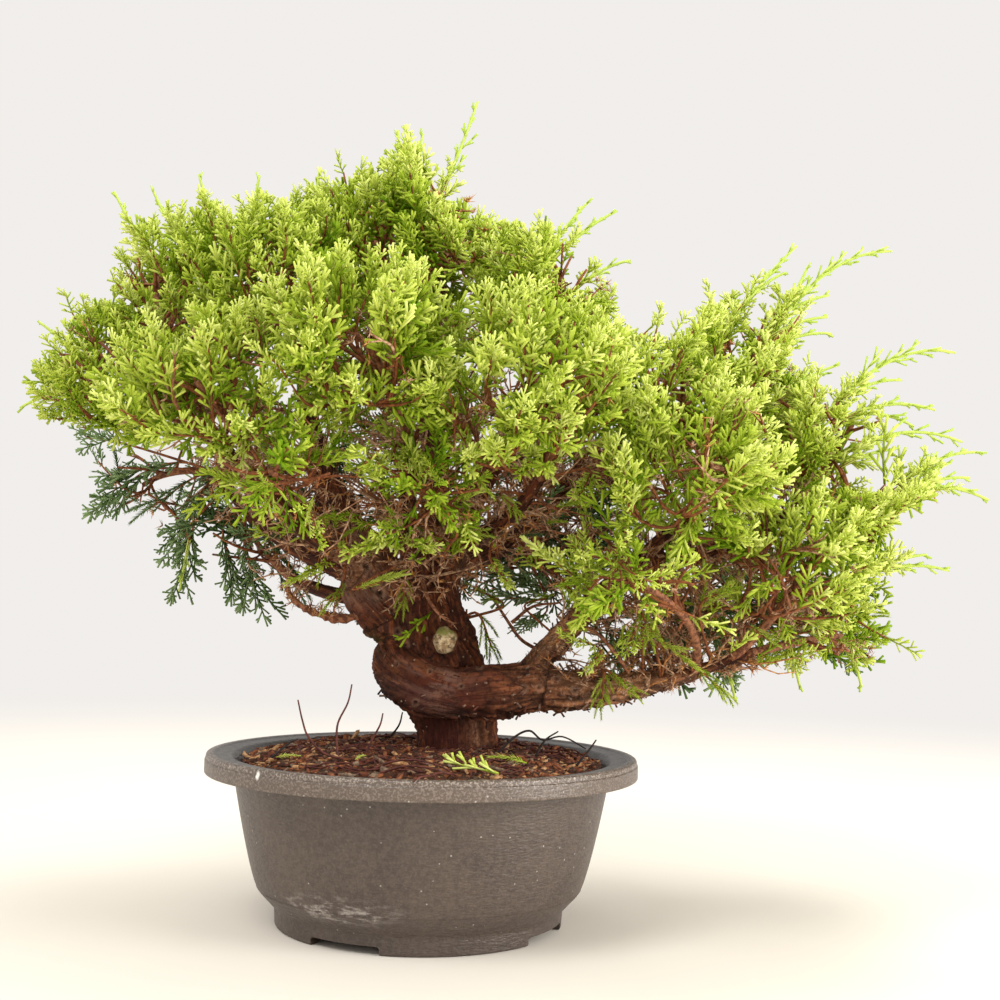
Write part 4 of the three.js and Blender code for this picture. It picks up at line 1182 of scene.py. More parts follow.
def deal_greens():
    """The level of green of every placed spray, as painted shade and light: crowded inner ones are dealt dark
    greens and outer ones bright greens, and sprays of masses set dark get the shade greens.
    """
    tips = np.array([spray.root + spray.basis[0] * FAN_LENGTH * MM for spray in placed_sprays])
    cells = np.floor((tips - box_low) / LIGHT_CELL).astype(int) + 8
    crowd = np.zeros(cells.max(0) + 16)
    np.add.at(crowd, tuple(cells.T), 1)
    outward = unit((tips - heart) * [1, 1, 1.2])
    shade = np.zeros(len(tips))
    for ways in (np.broadcast_to(UP, tips.shape), outward, unit(outward + UP)):
        for step in LIGHT_STEPS:
            near = np.round((tips - box_low) / LIGHT_CELL + ways * step - 0.5).astype(int) + 8
            shade += crowd[tuple(np.clip(near, 0, np.array(crowd.shape) - 1).T)]
    light = np.exp(-LIGHT_LOSS * shade / 3 * 2)
    base = np.array([masses[spray.order].bright + spray.bright for spray in placed_sprays])
    level = base + DARKEST_LEVEL + LIGHT_LEVELS * light + crown_random.normal(0, LEVEL_SCATTER, len(tips))
    level = np.clip(np.round(level), 0, GREENS - 1 - TIP).astype(int)
    # Painted shade: sprays of masses that are set dark, low at the back, are dealt the bluish shade greens
    shaded_mass = np.array([masses[spray.order].bright < SHADED_MASS_BELOW for spray in placed_sprays])
    return np.where(shaded_mass, GREENS + np.clip(level - 1, 0, SHADE_GREEN_COUNT - 1 - TIP), level)


spray_greens = deal_greens()


# Materials
LEAF_ROUGHNESS = 0.55


def colour(hex_code):
    """A screen colour as Blender's linear numbers."""
    parts = [int(hex_code[k : k + 2], 16) / 255 for k in (0, 2, 4)]
    return [c / 12.92 if c <= 0.04045 else ((c + 0.055) / 1.055) ** 2.4 for c in parts] + [1.0]


def add_node(tree, kind, settings=None, **inputs):
    """A node with its settings, and with each named input set to a value or joined to a socket."""
    node = tree.nodes.new(kind)
    for key, value in (settings or {}).items():
        setattr(node, key, value)
    for key, value in inputs.items():
        socket = node.inputs[int(key[1:])] if key[0] == "_" else node.inputs[key.replace("_", " ")]
        if isinstance(value, bpy.types.NodeSocket):
            tree.links.new(value, socket)
        else:
            socket.default_value = value
    return node


def maths(tree, operation, *values):
    """A sum on numbers or sockets."""
    given = {f"_{k}": value for k, value in enumerate(values)}
    return add_node(tree, "ShaderNodeMath", {"operation": operation}, **given).outputs[0]


def vector_maths(tree, operation, *values):
    """A sum on places or sockets."""
    given = {f"_{k}": value for k, value in enumerate(values)}
    node = add_node(tree, "ShaderNodeVectorMath", {"operation": operation}, **given)
    return node.outputs["Value" if operation == "LENGTH" else "Vector"]


def ramp(tree, value, low, high):
    """A mask that goes softly from 0 at low to 1 at high."""
    settings = {"interpolation_type": "SMOOTHSTEP"}
    node = add_node(tree, "ShaderNodeMapRange", settings, Value=value, From_Min=low, From_Max=high)
    return node.outputs["Result"]


def new_group(name, numbers, outputs):
    """An empty node group: it reads a place and some numbers. Returns its tree, inputs and output node."""
    tree = bpy.data.node_groups.new(name, "ShaderNodeTree")
    tree.interface.new_socket(name="Place", in_out="INPUT", socket_type="NodeSocketVector")
    for label, value in numbers.items():
        socket = tree.interface.new_socket(name=label, in_out="INPUT", socket_type="NodeSocketFloat")
        socket.default_value = value
    for label in outputs:
        kind = "NodeSocketVector" if label == "Normal" else "NodeSocketFloat"
        tree.interface.new_socket(name=label, in_out="OUTPUT", socket_type=kind)
    return tree, tree.nodes.new("NodeGroupInput").outputs, tree.nodes.new("NodeGroupOutput").inputs


def patches_group():
    """Soft-edged patches: a mask that is 1 inside them. Cover is about the share that they take up."""
    tree, given, result = new_group("patches", {"Scale": 100.0, "Cover": 0.5, "Edge": 0.08}, ["Mask"])
    cloud = add_node(tree, "ShaderNodeTexNoise", Vector=given["Place"], Scale=given["Scale"], Detail=5.0,
                     Roughness=0.6)
    bare = maths(tree, "MULTIPLY_ADD", given["Cover"], -0.4, 0.7)
    low = maths(tree, "SUBTRACT", bare, given["Edge"])
    high = maths(tree, "ADD", bare, given["Edge"])
    tree.links.new(ramp(tree, cloud.outputs["Fac"], low, high), result["Mask"])
    return tree


def flecks_group():
    """Small scattered dots: a mask that is 1 inside them."""
    tree, given, result = new_group("flecks", {"Scale": 300.0, "Size": 0.2, "Share": 0.3}, ["Mask"])
    cells = add_node(tree, "ShaderNodeTexVoronoi", Vector=given["Place"], Scale=given["Scale"])
    near = maths(tree, "LESS_THAN", cells.outputs["Distance"], given["Size"])
    pick = add_node(tree, "ShaderNodeSeparateColor", Color=cells.outputs["Color"])
    chosen = maths(tree, "LESS_THAN", pick.outputs[0], given["Share"])
    tree.links.new(maths(tree, "MULTIPLY", near, chosen), result["Mask"])
    return tree


def relief_group():
    """Fine surface relief: soft cells and grit, as a normal and a height."""
    numbers = {"Scale": 400.0, "Grit": 0.5, "Depth": 0.0002}
    tree, given, result = new_group("relief", numbers, ["Normal", "Height"])
    cells = add_node(tree, "ShaderNodeTexVoronoi", {"feature": "SMOOTH_F1"}, Vector=given["Place"],
                     Scale=given["Scale"], Smoothness=0.7)
    finer = maths(tree, "MULTIPLY", given["Scale"], 2.3)
    grit = add_node(tree, "ShaderNodeTexNoise", Vector=given["Place"], Scale=finer, Detail=6.0)
    height = add_node(tree, "ShaderNodeMix", {"data_type": "FLOAT"}, _0=given["Grit"],
                      _2=cells.outputs["Distance"], _3=grit.outputs["Fac"]).outputs[0]
    bump = add_node(tree, "ShaderNodeBump", Strength=1.0, Distance=given["Depth"], Height=height)
    tree.links.new(bump.outputs["Normal"], result["Normal"])
    tree.links.new(height, result["Height"])
    return tree


patches = patches_group()
flecks = flecks_group()
relief = relief_group()


def new_material(name, roughness, base=None):
    material = bpy.data.materials.new(name)
    material.use_nodes = True
    shader = material.node_tree.nodes["Principled BSDF"]
    shader.inputs["Roughness"].default_value = roughness
    if base is not None:
        shader.inputs["Base Color"].default_value = colour(base)
        material.diffuse_color = colour(base)
    return material, material.node_tree, shader


def patched(tree, place, scale, cover=0.5, edge=0.09):
    """The mask of soft patches on a surface."""
    settings = {"node_tree": patches}
    node = add_node(tree, "ShaderNodeGroup", settings, Place=place, Scale=scale, Cover=cover, Edge=edge)
    return node.outputs["Mask"]


def dotted(tree, place, scale, size, share):
    """The mask of scattered dots on a surface."""
    settings = {"node_tree": flecks}
    node = add_node(tree, "ShaderNodeGroup", settings, Place=place, Scale=scale, Size=size, Share=share)
    return node.outputs["Mask"]


def roughened(tree, shader, place, scale, grit, depth):
    """Gives a shader fine relief, and returns its height."""
    settings = {"node_tree": relief}
    node = add_node(tree, "ShaderNodeGroup", settings, Place=place, Scale=scale, Grit=grit, Depth=depth)
    tree.links.new(node.outputs["Normal"], shader.inputs["Normal"])
    return node.outputs["Height"]


def blend(tree, mask, under, over):
    """Colour over laid on colour under where the mask is 1."""
    return add_node(tree, "ShaderNodeMix", {"data_type": "RGBA"}, _0=mask, _6=under, _7=over).outputs[2]


def coated(tree, under, code, mask, *shares):
    """One plain colour laid on another, as strongly as the mask times the shares."""
    for share in shares:
        mask = maths(tree, "MULTIPLY", mask, share)
    return blend(tree, mask, under, colour(code))


def object_place(tree):
    return add_node(tree, "ShaderNodeTexCoord").outputs["Object"]


def up_part(tree, vector):
    return add_node(tree, "ShaderNodeSeparateXYZ", Vector=vector).outputs["Z"]


def near_spot(tree, place, centre, size):
    """A mask that is 1 at a spot and fades to 0 at its edge. Both are in millimetres."""
    away = vector_maths(tree, "SUBTRACT", place, [c * MM for c in centre])
    scaled = vector_maths(tree, "MULTIPLY", away, [1 / (s * MM) for s in size])
    return ramp(tree, vector_maths(tree, "LENGTH", scaled), 1.0, 0.35)


def pot_material():
    """Dark moulded plastic: leathery, its rim speckled with dust, scuffed at the foot and chipped once."""
    material, tree, shader = new_material("pot_plastic", 0.6)
    shader.inputs["Specular IOR Level"].default_value = 0.8
    place = object_place(tree)
    height = up_part(tree, place)
    body = blend(tree, patched(tree, place, 32.0, edge=0.14), colour("37271f"), colour("45352b"))
    body = coated(tree, body, "66554a", patched(tree, place, 420.0), 0.3)
    body = coated(tree, body, "2a211b", ramp(tree, height, 0.03, 0.004), 0.2)
    rim = ramp(tree, height, (POT_HEIGHT - RIM_DEPTH - 0.6) * MM, (POT_HEIGHT - RIM_DEPTH + 0.6) * MM)
    body = coated(tree, body, "605145", rim, 0.6)
    edge = ramp(tree, height, (POT_HEIGHT - 4) * MM, (POT_HEIGHT - 0.6) * MM)
    speckle = patched(tree, place, 1100.0, 0.4, 0.06)
    body = coated(tree, body, "a8998c", speckle, rim, 0.3)
    body = coated(tree, body, "c2b6aa", speckle, edge, 0.4)
    body = coated(tree, body, "9c9084", speckle, 0.08)
    out = vector_maths(tree, "LENGTH", vector_maths(tree, "MULTIPLY", place, (1, 1, 0)))
    inside = ramp(tree, out, (RIM_RADIUS - 2) * MM, (RIM_RADIUS - 5) * MM)
    level = ramp(tree, up_part(tree, add_node(tree, "ShaderNodeNewGeometry").outputs["Normal"]), 0.1, 0.6)
    body = coated(tree, body, "1d1712", level, inside, 0.75)
    streaked = vector_maths(tree, "MULTIPLY", place, (1, 1, 3.4))
    spot = near_spot(tree, place, SCUFF_PLACE, SCUFF_SIZE)
    smudge = maths(tree, "MULTIPLY", patched(tree, streaked, 120.0, 0.42, 0.08), spot)
    body = coated(tree, body, "a09690", smudge, 0.45)
    body = coated(tree, body, "c6beb8", smudge, patched(tree, place, 600.0, edge=0.06), 0.35)
    body = coated(tree, body, "efece6", near_spot(tree, place, CHIP_PLACE, CHIP_SIZE))
    body = coated(tree, body, "c9c4bd", dotted(tree, place, 420.0, 0.16, 0.06), 0.55)
    tree.links.new(body, shader.inputs["Base Color"])
    wrinkle = roughened(tree, shader, streaked, 300.0, 0.45, 0.00042)
    dull = add_node(tree, "ShaderNodeMapRange", Value=wrinkle, To_Min=0.36, To_Max=0.55)
    tree.links.new(dull.outputs["Result"], shader.inputs["Roughness"])
    return material


def mark(tree, name):
    """How strongly a mark on the bark shows at a place, from the mesh."""
    return add_node(tree, "ShaderNodeAttribute", {"attribute_name": name}).outputs["Fac"]


def bark_material():
    """Bark that follows its limb: fibres and flakes along it, dark in the cracks, grey where worn, and with
    painted glints on its pale flaking parts.
    """
    material, tree, shader = new_material("bark", 0.82)
    shader.inputs["Specular IOR Level"].default_value = 0.3
    grain = add_node(tree, "ShaderNodeAttribute", {"attribute_name": "grain"}).outputs["Vector"]
    long_grain = vector_maths(tree, "MULTIPLY", grain, (1, 1, 0.13))
    short_grain = vector_maths(tree, "MULTIPLY", grain, (1, 1, 0.4))
    pale = mark(tree, "pale")
    base = blend(tree, mark(tree, "plate"), colour("3c160a"), colour("783a1c"))
    base = coated(tree, base, "5a2714", patched(tree, grain, 70.0, edge=0.14), 0.5)
    base = coated(tree, base, "a8643c", patched(tree, long_grain, 520.0, 0.42, 0.06), 0.5)
    base = coated(tree, base, "c0885e", pale, 0.75)
    base = coated(tree, base, "866659", patched(tree, short_grain, 170.0, edge=0.12), mark(tree, "worn"))
    base = coated(tree, base, "2b1008", patched(tree, grain, 420.0, 0.36, 0.06), 0.6)
    # Painted glints: small pale gold flecks on the pale flaking bark stand in for highlights
    base = coated(tree, base, "e0b493", patched(tree, grain, 900.0, 0.36, 0.06), 0.6, pale)
    base = coated(tree, base, "45150f", mark(tree, "wine"), 0.8)
    base = coated(tree, base, "1a0a05", mark(tree, "crack"), 0.8)
    base = coated(tree, base, "a88670", mark(tree, "ring"), 0.6)
    base = coated(tree, base, "b49c84", dotted(tree, grain, 520.0, 0.2, 0.07), 0.75)
    base = coated(tree, base, "3e4a1c", mark(tree, "moss"))
    tree.links.new(base, shader.inputs["Base Color"])
    roughened(tree, shader, long_grain, 700.0, 0.7, 0.0011)
    return material


def grainy_material(name, base, other, roughness, scale, depth):
    """A rough natural surface in two mixed tones."""
    material, tree, shader = new_material(name, roughness)
    place = object_place(tree)
    tone = blend(tree, patched(tree, place, scale), colour(base), colour(other))
    tree.links.new(tone, shader.inputs["Base Color"])
    roughened(tree, shader, place, scale * 2, 0.6, depth)
    return material


def leaf_material(name, base):
    """One plain green of the crown, dealt out by spray."""
    material, _, shader = new_material(name, LEAF_ROUGHNESS, base)
    shader.inputs["Specular IOR Level"].default_value = 0.08
    return material


def stub_material():
    """Old cut wood: pale and cracked, dark at its edge and green with algae on top."""
    material, tree, shader = new_material("cut_wood", 0.85)
    place = object_place(tree)
    base = blend(tree, patched(tree, place, 380.0), colour("a58660"), colour("dfc8a0"))
    base = coated(tree, base, "4a3526", patched(tree, place, 700.0, 0.33, 0.04), 0.8)
    upper = ramp(tree, up_part(tree, place), (STUB_END[2] + 0.8) * MM, (STUB_END[2] + 4) * MM)
    base = coated(tree, base, "87883f", patched(tree, place, 330.0, 0.62, 0.12), upper)
    base = blend(tree, near_spot(tree, place, STUB_END, [8.6, 8.6, 9.4]), colour("4b3020"), base)
    tree.links.new(base, shader.inputs["Base Color"])
    roughened(tree, shader, place, 800.0, 0.6, 0.0007)
    return material


pot_finish = pot_material()
bark_finish = bark_material()
soil_finish = grainy_material("soil", "37200f", "62391f", 0.95, 400.0, 0.0006)
chip_finishes = [
    grainy_material("chip_dark", "3a1c0e", "5c301a", 0.9, 500.0, 0.0003),
    grainy_material("chip_red", "703a20", "985b35", 0.88, 500.0, 0.0003),
    grainy_material("chip_tan", "a67647", "d4a678", 0.88, 500.0, 0.0003),
    grainy_material("chip_grey", "6a5240", "907963", 0.9, 500.0, 0.0003),
    grainy_material("rootlet", "4a1e18", "6b3325", 0.7, 300.0, 0.0002),
    grainy_material("black_twig", "1d1412", "33221c", 0.8, 300.0, 0.0002),
]
stub_finish = stub_material()
flake_finishes = [
    grainy_material("flake_dark", "2c140c", "472416", 0.9, 500.0, 0.0003),
    grainy_material("flake_red", "5e301e", "7d4830", 0.88, 500.0, 0.0003),
    grainy_material("flake_pale", "6f5443", "947460", 0.9, 500.0, 0.0003),
]
twig_finishes = [
    grainy_material("twig_old", "683a24", "a46c4a", 0.85, 500.0, 0.0003),
    grainy_material("twig_young", "6e3518", "9c5a2c", 0.7, 500.0, 0.0002),
    grainy_material("twig_dead", "94664a", "d8ae8a", 0.88, 500.0, 0.0003),
    grainy_material("twig_dried", "aa6230", "d89c58", 0.85, 500.0, 0.0002),
]
# Greens from dark to light, then bluish shade greens: lit and shaded copies of the foliage's green, dealt as
# painted light and shade
GREEN_CODES = ["2b4607", "3f5e08", "55760b", "6c8f12", "84a020", "9bb130", "b4c547", "cbd864", "dce680"]
SHADE_GREEN_CODES = ["2f4428", "42592f", "566f40", "6f8756", "88a06c"]
green_finishes = [leaf_material(f"green_{k}", code) for k, code in enumerate(GREEN_CODES)]
green_finishes += [leaf_material(f"shade_green_{k}", code) for k, code in enumerate(SHADE_GREEN_CODES)]
runner_finishes = [leaf_material("runner_stem", "c4d868"), leaf_material("runner_tip", "b4cc58")]


# Modelling helpers
def deselect_all():
    bpy.ops.object.select_all(action="DESELECT")


def activate(piece):
    deselect_all()
    piece.select_set(True)
    bpy.context.view_layer.objects.active = piece


def add_modifier(piece, kind, **settings):
    """Adds a modifier, sets it and applies it."""
    activate(piece)
    modifier = piece.modifiers.new(kind.lower(), kind)
    for key, value in settings.items():
        setattr(modifier, key, value)
    bpy.ops.object.modifier_apply(modifier=modifier.name)


def read_corners(mesh, field):
    """The corners' places or normals as an array."""
    values = np.zeros(len(mesh.vertices) * 3)
    mesh.vertices.foreach_get(field, values)
    return values.reshape(-1, 3)


def raised_ring_by_ring(name, profile, sides):
    """A round closed shape: a ring that is drawn up, in or out along a profile of radius and height."""
    deselect_all()
    first_radius, first_height = profile[0]
    bpy.ops.mesh.primitive_circle_add(
        vertices=sides, radius=first_radius * MM, fill_type="TRIFAN", location=(0, 0, first_height * MM)
    )
    piece = bpy.context.object
    piece.name = name
    bpy.ops.object.transform_apply(location=True)
    bpy.ops.object.mode_set(mode="EDIT")
    bpy.ops.mesh.select_mode(type="EDGE")
    bpy.ops.mesh.select_all(action="DESELECT")
    bpy.ops.mesh.select_non_manifold()
    for (radius, height), (next_radius, next_height) in zip(profile, profile[1:]):
        bpy.ops.mesh.extrude_edges_move(TRANSFORM_OT_translate={"value": (0, 0, (next_height - height) * MM)})
        ratio = next_radius / radius
        if abs(ratio - 1) > 1e-6:
            bpy.ops.transform.resize(value=(ratio, ratio, 1), center_override=(0, 0, next_height * MM))
    bpy.ops.mesh.edge_face_add()
    bpy.ops.mesh.poke()
    bpy.ops.mesh.select_all(action="SELECT")
    bpy.ops.mesh.normals_make_consistent(inside=False)
    bpy.ops.object.mode_set(mode="OBJECT")
    return piece


def belongs(piece, slot, *nodes):
    """Puts a finished piece on the one body and hides the nodes that it replaces. The slot is not used."""
    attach(piece, "root")
    if nodes:
        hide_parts(*nodes)


# Pot
def body_radius(height):
    """The outside of the pot's wall at a height, above the waist."""
    share = (height - WAIST_HEIGHT) / (POT_HEIGHT - RIM_DEPTH - WAIST_HEIGHT)
    return mix(WAIST_RADIUS, BODY_TOP_RADIUS, max(share, 0) ** BODY_SWELL)


def rounded(corner, before, after, size, steps=4):
    """A profile corner as a short arc between the lines to its neighbours."""
    corner = np.array(corner, float)
    start = corner + unit(np.array(before, float) - corner) * size
    end = corner + unit(np.array(after, float) - corner) * size
    t = np.linspace(0, 1, steps + 1)[:, None]
    return [tuple(p) for p in (1 - t) ** 2 * start + 2 * t * (1 - t) * corner + t**2 * end]


def rounded_profile(corners):
    """A profile whose corners given with a size are rounded by it."""
    profile = []
    for k, (radius, height, *size) in enumerate(corners):
        if size:
            profile += rounded((radius, height), corners[k - 1][:2], corners[k + 1][:2], size[0])
        else:
            profile.append((radius, height))
    return profile


def make_pot():
    rim_foot = POT_HEIGHT - RIM_DEPTH
    lip_top = POT_HEIGHT - RIM_LIP
    heights = np.linspace(WAIST_HEIGHT + 1, rim_foot, 16)
    outside = [(body_radius(z), z) for z in heights]
    inside = [(body_radius(z) - WALL, z) for z in reversed(heights)]
    corners = [
        (PAD_RADIUS, 0, 0.6), (PAD_RADIUS, UNDERSIDE_HEIGHT, 1.2),
        (FOOT_RADIUS - FOOT_WALL, UNDERSIDE_HEIGHT, 1.2), (FOOT_RADIUS - FOOT_WALL, 0, 0.8),
        (FOOT_RADIUS, 0, 0.8), (FOOT_RADIUS + 0.5, FOOT_HEIGHT, 1.5), (WAIST_RADIUS, WAIST_HEIGHT, 1.6),
        *outside,
        (BODY_TOP_RADIUS, lip_top, 1.2), (RIM_RADIUS - RIM_LIP, lip_top, 1.2),
        (RIM_RADIUS - RIM_LIP, rim_foot, 0.7), (RIM_RADIUS, rim_foot, 0.7),
        (RIM_RADIUS, POT_HEIGHT - 2.6, 0.8), (RIM_RADIUS - 0.5, POT_HEIGHT - 2.4, 0.3),
        (RIM_RADIUS - 0.5, POT_HEIGHT - 0.1, 1.5), (RIM_RADIUS - 4.2, POT_HEIGHT, 1.0),
        (RIM_RADIUS - 5.4, POT_HEIGHT - 0.7, 0.5), (LEDGE_INNER_RADIUS, POT_HEIGHT - 1.2, 1.0),
        (LEDGE_INNER_RADIUS - 1.5, POT_HEIGHT - 3.5, 1.0),
        *inside,
        (FOOT_RADIUS, FLOOR_TOP, 1.0), (20, FLOOR_TOP),
    ]
    pot = raised_ring_by_ring("pot_shell", [(8, 0)] + rounded_profile([(10, 0)] + corners)[1:], POT_SIDES)
    for k in range(SLOT_COUNT):
        cut_foot_slot(pot, math.radians(FIRST_SLOT_ANGLE + k * 360 / SLOT_COUNT))
    activate(pot)
    bpy.ops.object.shade_smooth_by_angle(angle=math.radians(38))
    pot.data.materials.append(pot_finish)
    belongs(pot, "pot_plastic", "pot")


def cut_foot_slot(pot, angle):
    """Cuts one drain slot with slanted ends through the ring foot."""
    deselect_all()
    bpy.ops.mesh.primitive_cube_add(size=1, location=(FOOT_RADIUS * MM, 0, 0))
    cutter = bpy.context.object
    cutter.scale = (4 * FOOT_WALL * MM, SLOT_WIDTH * MM, 2 * SLOT_HEIGHT * MM)
    bpy.ops.object.transform_apply(location=True, scale=True)
    add_modifier(cutter, "BEVEL", width=1.4 * MM, segments=3)
    cutter.data.transform(Matrix.Rotation(angle, 4, "Z"))
    add_modifier(pot, "BOOLEAN", operation="DIFFERENCE", object=cutter, solver="EXACT")
    bpy.data.objects.remove(cutter)


# Soil
def soil_top(radius):
    """The soil's height at a distance from the pot's middle, without its grains."""
    share = np.clip((radius - SOIL_LEVEL_RADIUS) / (SOIL_RADIUS - SOIL_LEVEL_RADIUS), 0, 1)
    return mix(SOIL_CROWN, SOIL_EDGE, share**SOIL_FALL)


def make_soil():
    heights = np.linspace(WAIST_HEIGHT + 1, POT_HEIGHT - RIM_DEPTH, 6)
    side = [(body_radius(z) - WALL - 0.5, z) for z in heights]
    rings = [(r, soil_top(r)) for r in np.linspace(SOIL_RADIUS, 3, 44)]
    profile = [(20, FLOOR_TOP + 0.3), (FOOT_RADIUS - WALL, FLOOR_TOP + 0.3), *side, *rings]
    soil = raised_ring_by_ring("soil_mound", profile, 132)
    uneven = read_corners(soil.data, "co")
    for corner in uneven[uneven[:, 2] > 70 * MM]:
        x, y = corner[0] / MM, corner[1] / MM
        fall = min(1.0, (SOIL_RADIUS - math.hypot(x, y)) / 5 + 0.1)
        rough = noise.noise(Vector((x / 16, y / 16, 3))) * 1.1 + noise.noise(Vector((x / 4, y / 4, 7))) * 0.9
        corner[2] += (rough - 0.9) * fall * MM
    soil.data.vertices.foreach_set("co", uneven.ravel())
    soil.data.update()
    activate(soil)
    bpy.ops.object.shade_smooth()
    soil.data.materials.append(soil_finish)
    belongs(soil, "soil", "soil")


def chip_shapes(random, count):
    """Irregular flat chips of bark: boxes with every corner moved."""
    box = np.array([[x, y, z] for x in (-1, 1) for y in (-1, 1) for z in (-1, 1)], float)
    faces = np.array([[0, 1, 3], [0, 3, 2], [4, 6, 7], [4, 7, 5], [0, 4, 5], [0, 5, 1],
                      [2, 3, 7], [2, 7, 6], [0, 2, 6], [0, 6, 4], [1, 5, 7], [1, 7, 3]])
    shapes = []
    for _ in range(count):
        corners = box * [1, random.uniform(0.22, 0.5), random.uniform(0.14, 0.3)]
        shapes.append((corners * random.uniform(0.55, 1.1, corners.shape), faces))
    return shapes


def make_litter():
    """Bark chips, rootlets and fallen twigs that lie on the soil. The clippings on it are placed with the
    crown's sprays.
    """
    random = np.random.default_rng(SEED + 2)
    litter = Gathered()
    shapes = chip_shapes(random, 14)
    neck = np.array(NECK_FOOT[:2])
    for k in range(CHIPS):
        radius = (SOIL_RADIUS - 1) * math.sqrt(random.random())
        turn = random.uniform(0, 2 * math.pi)
        x, y = radius * math.cos(turn), radius * math.sin(turn)
        if np.hypot(x - neck[0], y - neck[1]) < NECK_RADIUS:
            continue
        size = random.lognormal(0.42, 0.42)
        size = min(size, 4.2, (SOIL_RADIUS + 1.5 - radius) * 0.9 + 0.8)
        corners, faces = shapes[k % len(shapes)]
        spin = Matrix.Rotation(random.uniform(0, 6.28), 3, "Z")
        for lean, axis in ((0.6, "X"), (0.32, "Y")):
            spin = spin @ Matrix.Rotation(random.normal(0, lean), 3, axis)
        centre = np.array([x, y, soil_top(radius) - 0.35 + 0.2 * size])
        look = int(random.choice(4, p=CHIP_TONES))
        litter.add(((centre + size * corners @ np.array(spin).T) * MM, faces), look)
    for k in range(ROOTLETS):
        radius = (SOIL_RADIUS - 8) * math.sqrt(random.random())
        turn = random.uniform(0, 2 * math.pi)
        x, y = radius * math.cos(turn), radius * math.sin(turn)
        way = random.uniform(0, 2 * math.pi)
        length = random.uniform(8, 30)
        points = []
        for share in np.linspace(0, 1, 7):
            way += random.normal(0, 0.35)
            arch = 2.2 * math.sin(share * math.pi) * random.uniform(0.2, 1)
            points.append([x, y, soil_top(math.hypot(x, y)) + 0.4 + arch])
            x += math.cos(way) * length / 6
            y += math.sin(way) * length / 6
            if math.hypot(x, y) > SOIL_RADIUS - 2:
                break
        if len(points) > 2:
            thick = random.uniform(0.3, 0.6)
            litter.add(tube(metres(points), MM * np.linspace(thick, 0.2, len(points)), 4), RED_ROOT)
    for route, red in SOIL_ROOTS:
        root = through(metres(route), 6)
        look = RED_ROOT if red else BLACK_TWIG
        litter.add(tube(root.points, MM * np.linspace(0.62, 0.34, len(root.points)), 5), look)
    belongs(litter.piece("soil_litter", chip_finishes), "soil")


# Trunk and boughs: tubes along the limbs are fused, smoothed and given the bark's relief
def limb_tubes():
    """A rod along every limb, the stub and the shoulder, as one mesh."""
    curve = bpy.data.curves.new("limbs", "CURVE")
    curve.dimensions = "3D"
    curve.bevel_depth = 1
    curve.bevel_resolution = 6
    curve.use_fill_caps = True
    runs = list(limbs.values())
    runs.append((Course(metres([STUB_FOOT, STUB_END])), even(STUB_RADIUS)))
    runs.append((through(metres(SHOULDER)), even(SHOULDER_RADIUS)))
    for course, radius_at in runs:
        count = max(4, int(course.length / (LIMB_STEP * MM)))
        shares = np.linspace(0, 1, count)
        spline = curve.splines.new("POLY")
        spline.points.add(count - 1)
        for point, place, radius in zip(spline.points, course.at(shares), radius_at(shares)):
            point.co = (*place, 1)
            point.radius = radius
    piece = bpy.data.objects.new("trunk_and_boughs", curve)
    bpy.context.scene.collection.objects.link(piece)
    activate(piece)
    bpy.ops.object.convert(target="MESH")
    return bpy.context.object


def limb_frames():
    """One row for each place along the limbs: the place, the radius, the ways aside, up and along, three
    numbers each, then the distance from the limb's foot and the limb's number."""
    rows = []
    for order, (course, radius_at) in enumerate(limbs.values()):
        count = max(8, int(course.length / (2 * MM)))
        shares = np.linspace(0, 1, count)
        points = course.at(shares)
        headings = course.heading(shares)
        side = unit(np.cross(headings[0], [0.3, 1, 0.2]))
        for k in range(count):
            side = unit(side - headings[k] * (side @ headings[k]))
            up = np.cross(headings[k], side)
            along = shares[k] * course.length
            rows.append([*points[k], radius_at(shares[k]), *side, *up, *headings[k], along, order])
    return np.array(rows)


# Marks on the wood, in millimetres, each with its place and size: knots as seen from the front, stretches
# worn grey, moss, smooth dark red bark, pale flaking bark, hollows and burls
KNOTS = [
    ([-23, 150.7], 2.7), ([-13.6, 132.8], 1.6), ([-9.8, 126.8], 1.5), ([-13.5, 117.6], 1.1),
    ([-4.1, 100.1], 1.3), ([16.8, 108.1], 1.2), ([46.4, 107.9], 1.6), ([53.5, 108], 1.5), ([61.4, 112], 1.5),
    ([70.4, 107.5], 1.4), ([25.5, 116.7], 1.3), ([2.1, 114.2], 1.2), ([82, 116.2], 1.6),
    ([-29.5, 163.3], 2.0), ([-16.6, 142.8], 1.3),
]
WORN = [
    ([4, -32, 112], 17), ([-38, -8, 150], 9), ([-24, -14, 152], 13), ([-34, -14, 172], 13),
    ([-16, -20, 138], 9),
]
MOSS = [([-25, -8, 128], 4.5), ([-31, -2, 141], 4)]
WINE = [([6, -12, 88], 13), ([14, -13, 84], 9), ([-4, -30, 103], 10), ([22, -34, 102], 11)]
PALE = [
    ([88, -26, 110], 31), ([60, -20, 132], 16), ([-34, -16, 168], 14), ([30, -14, 86], 9), ([28, 0, 165], 12),
]
HOLLOWS = [([6, -14, 149], 6), ([24, -10, 128], 7), ([62, -22, 122], 5)]
BURLS = [
    ([24, -4, 122], 8), ([-26, -6, 132], 8), ([66, -26, 104], 9), ([84, -26, 108], 8), ([98, -24, 112], 7),
    ([-20, -22, 106], 8), ([34, -24, 106], 7), ([20, 2, 146], 13), ([22, 0, 134], 10),
]

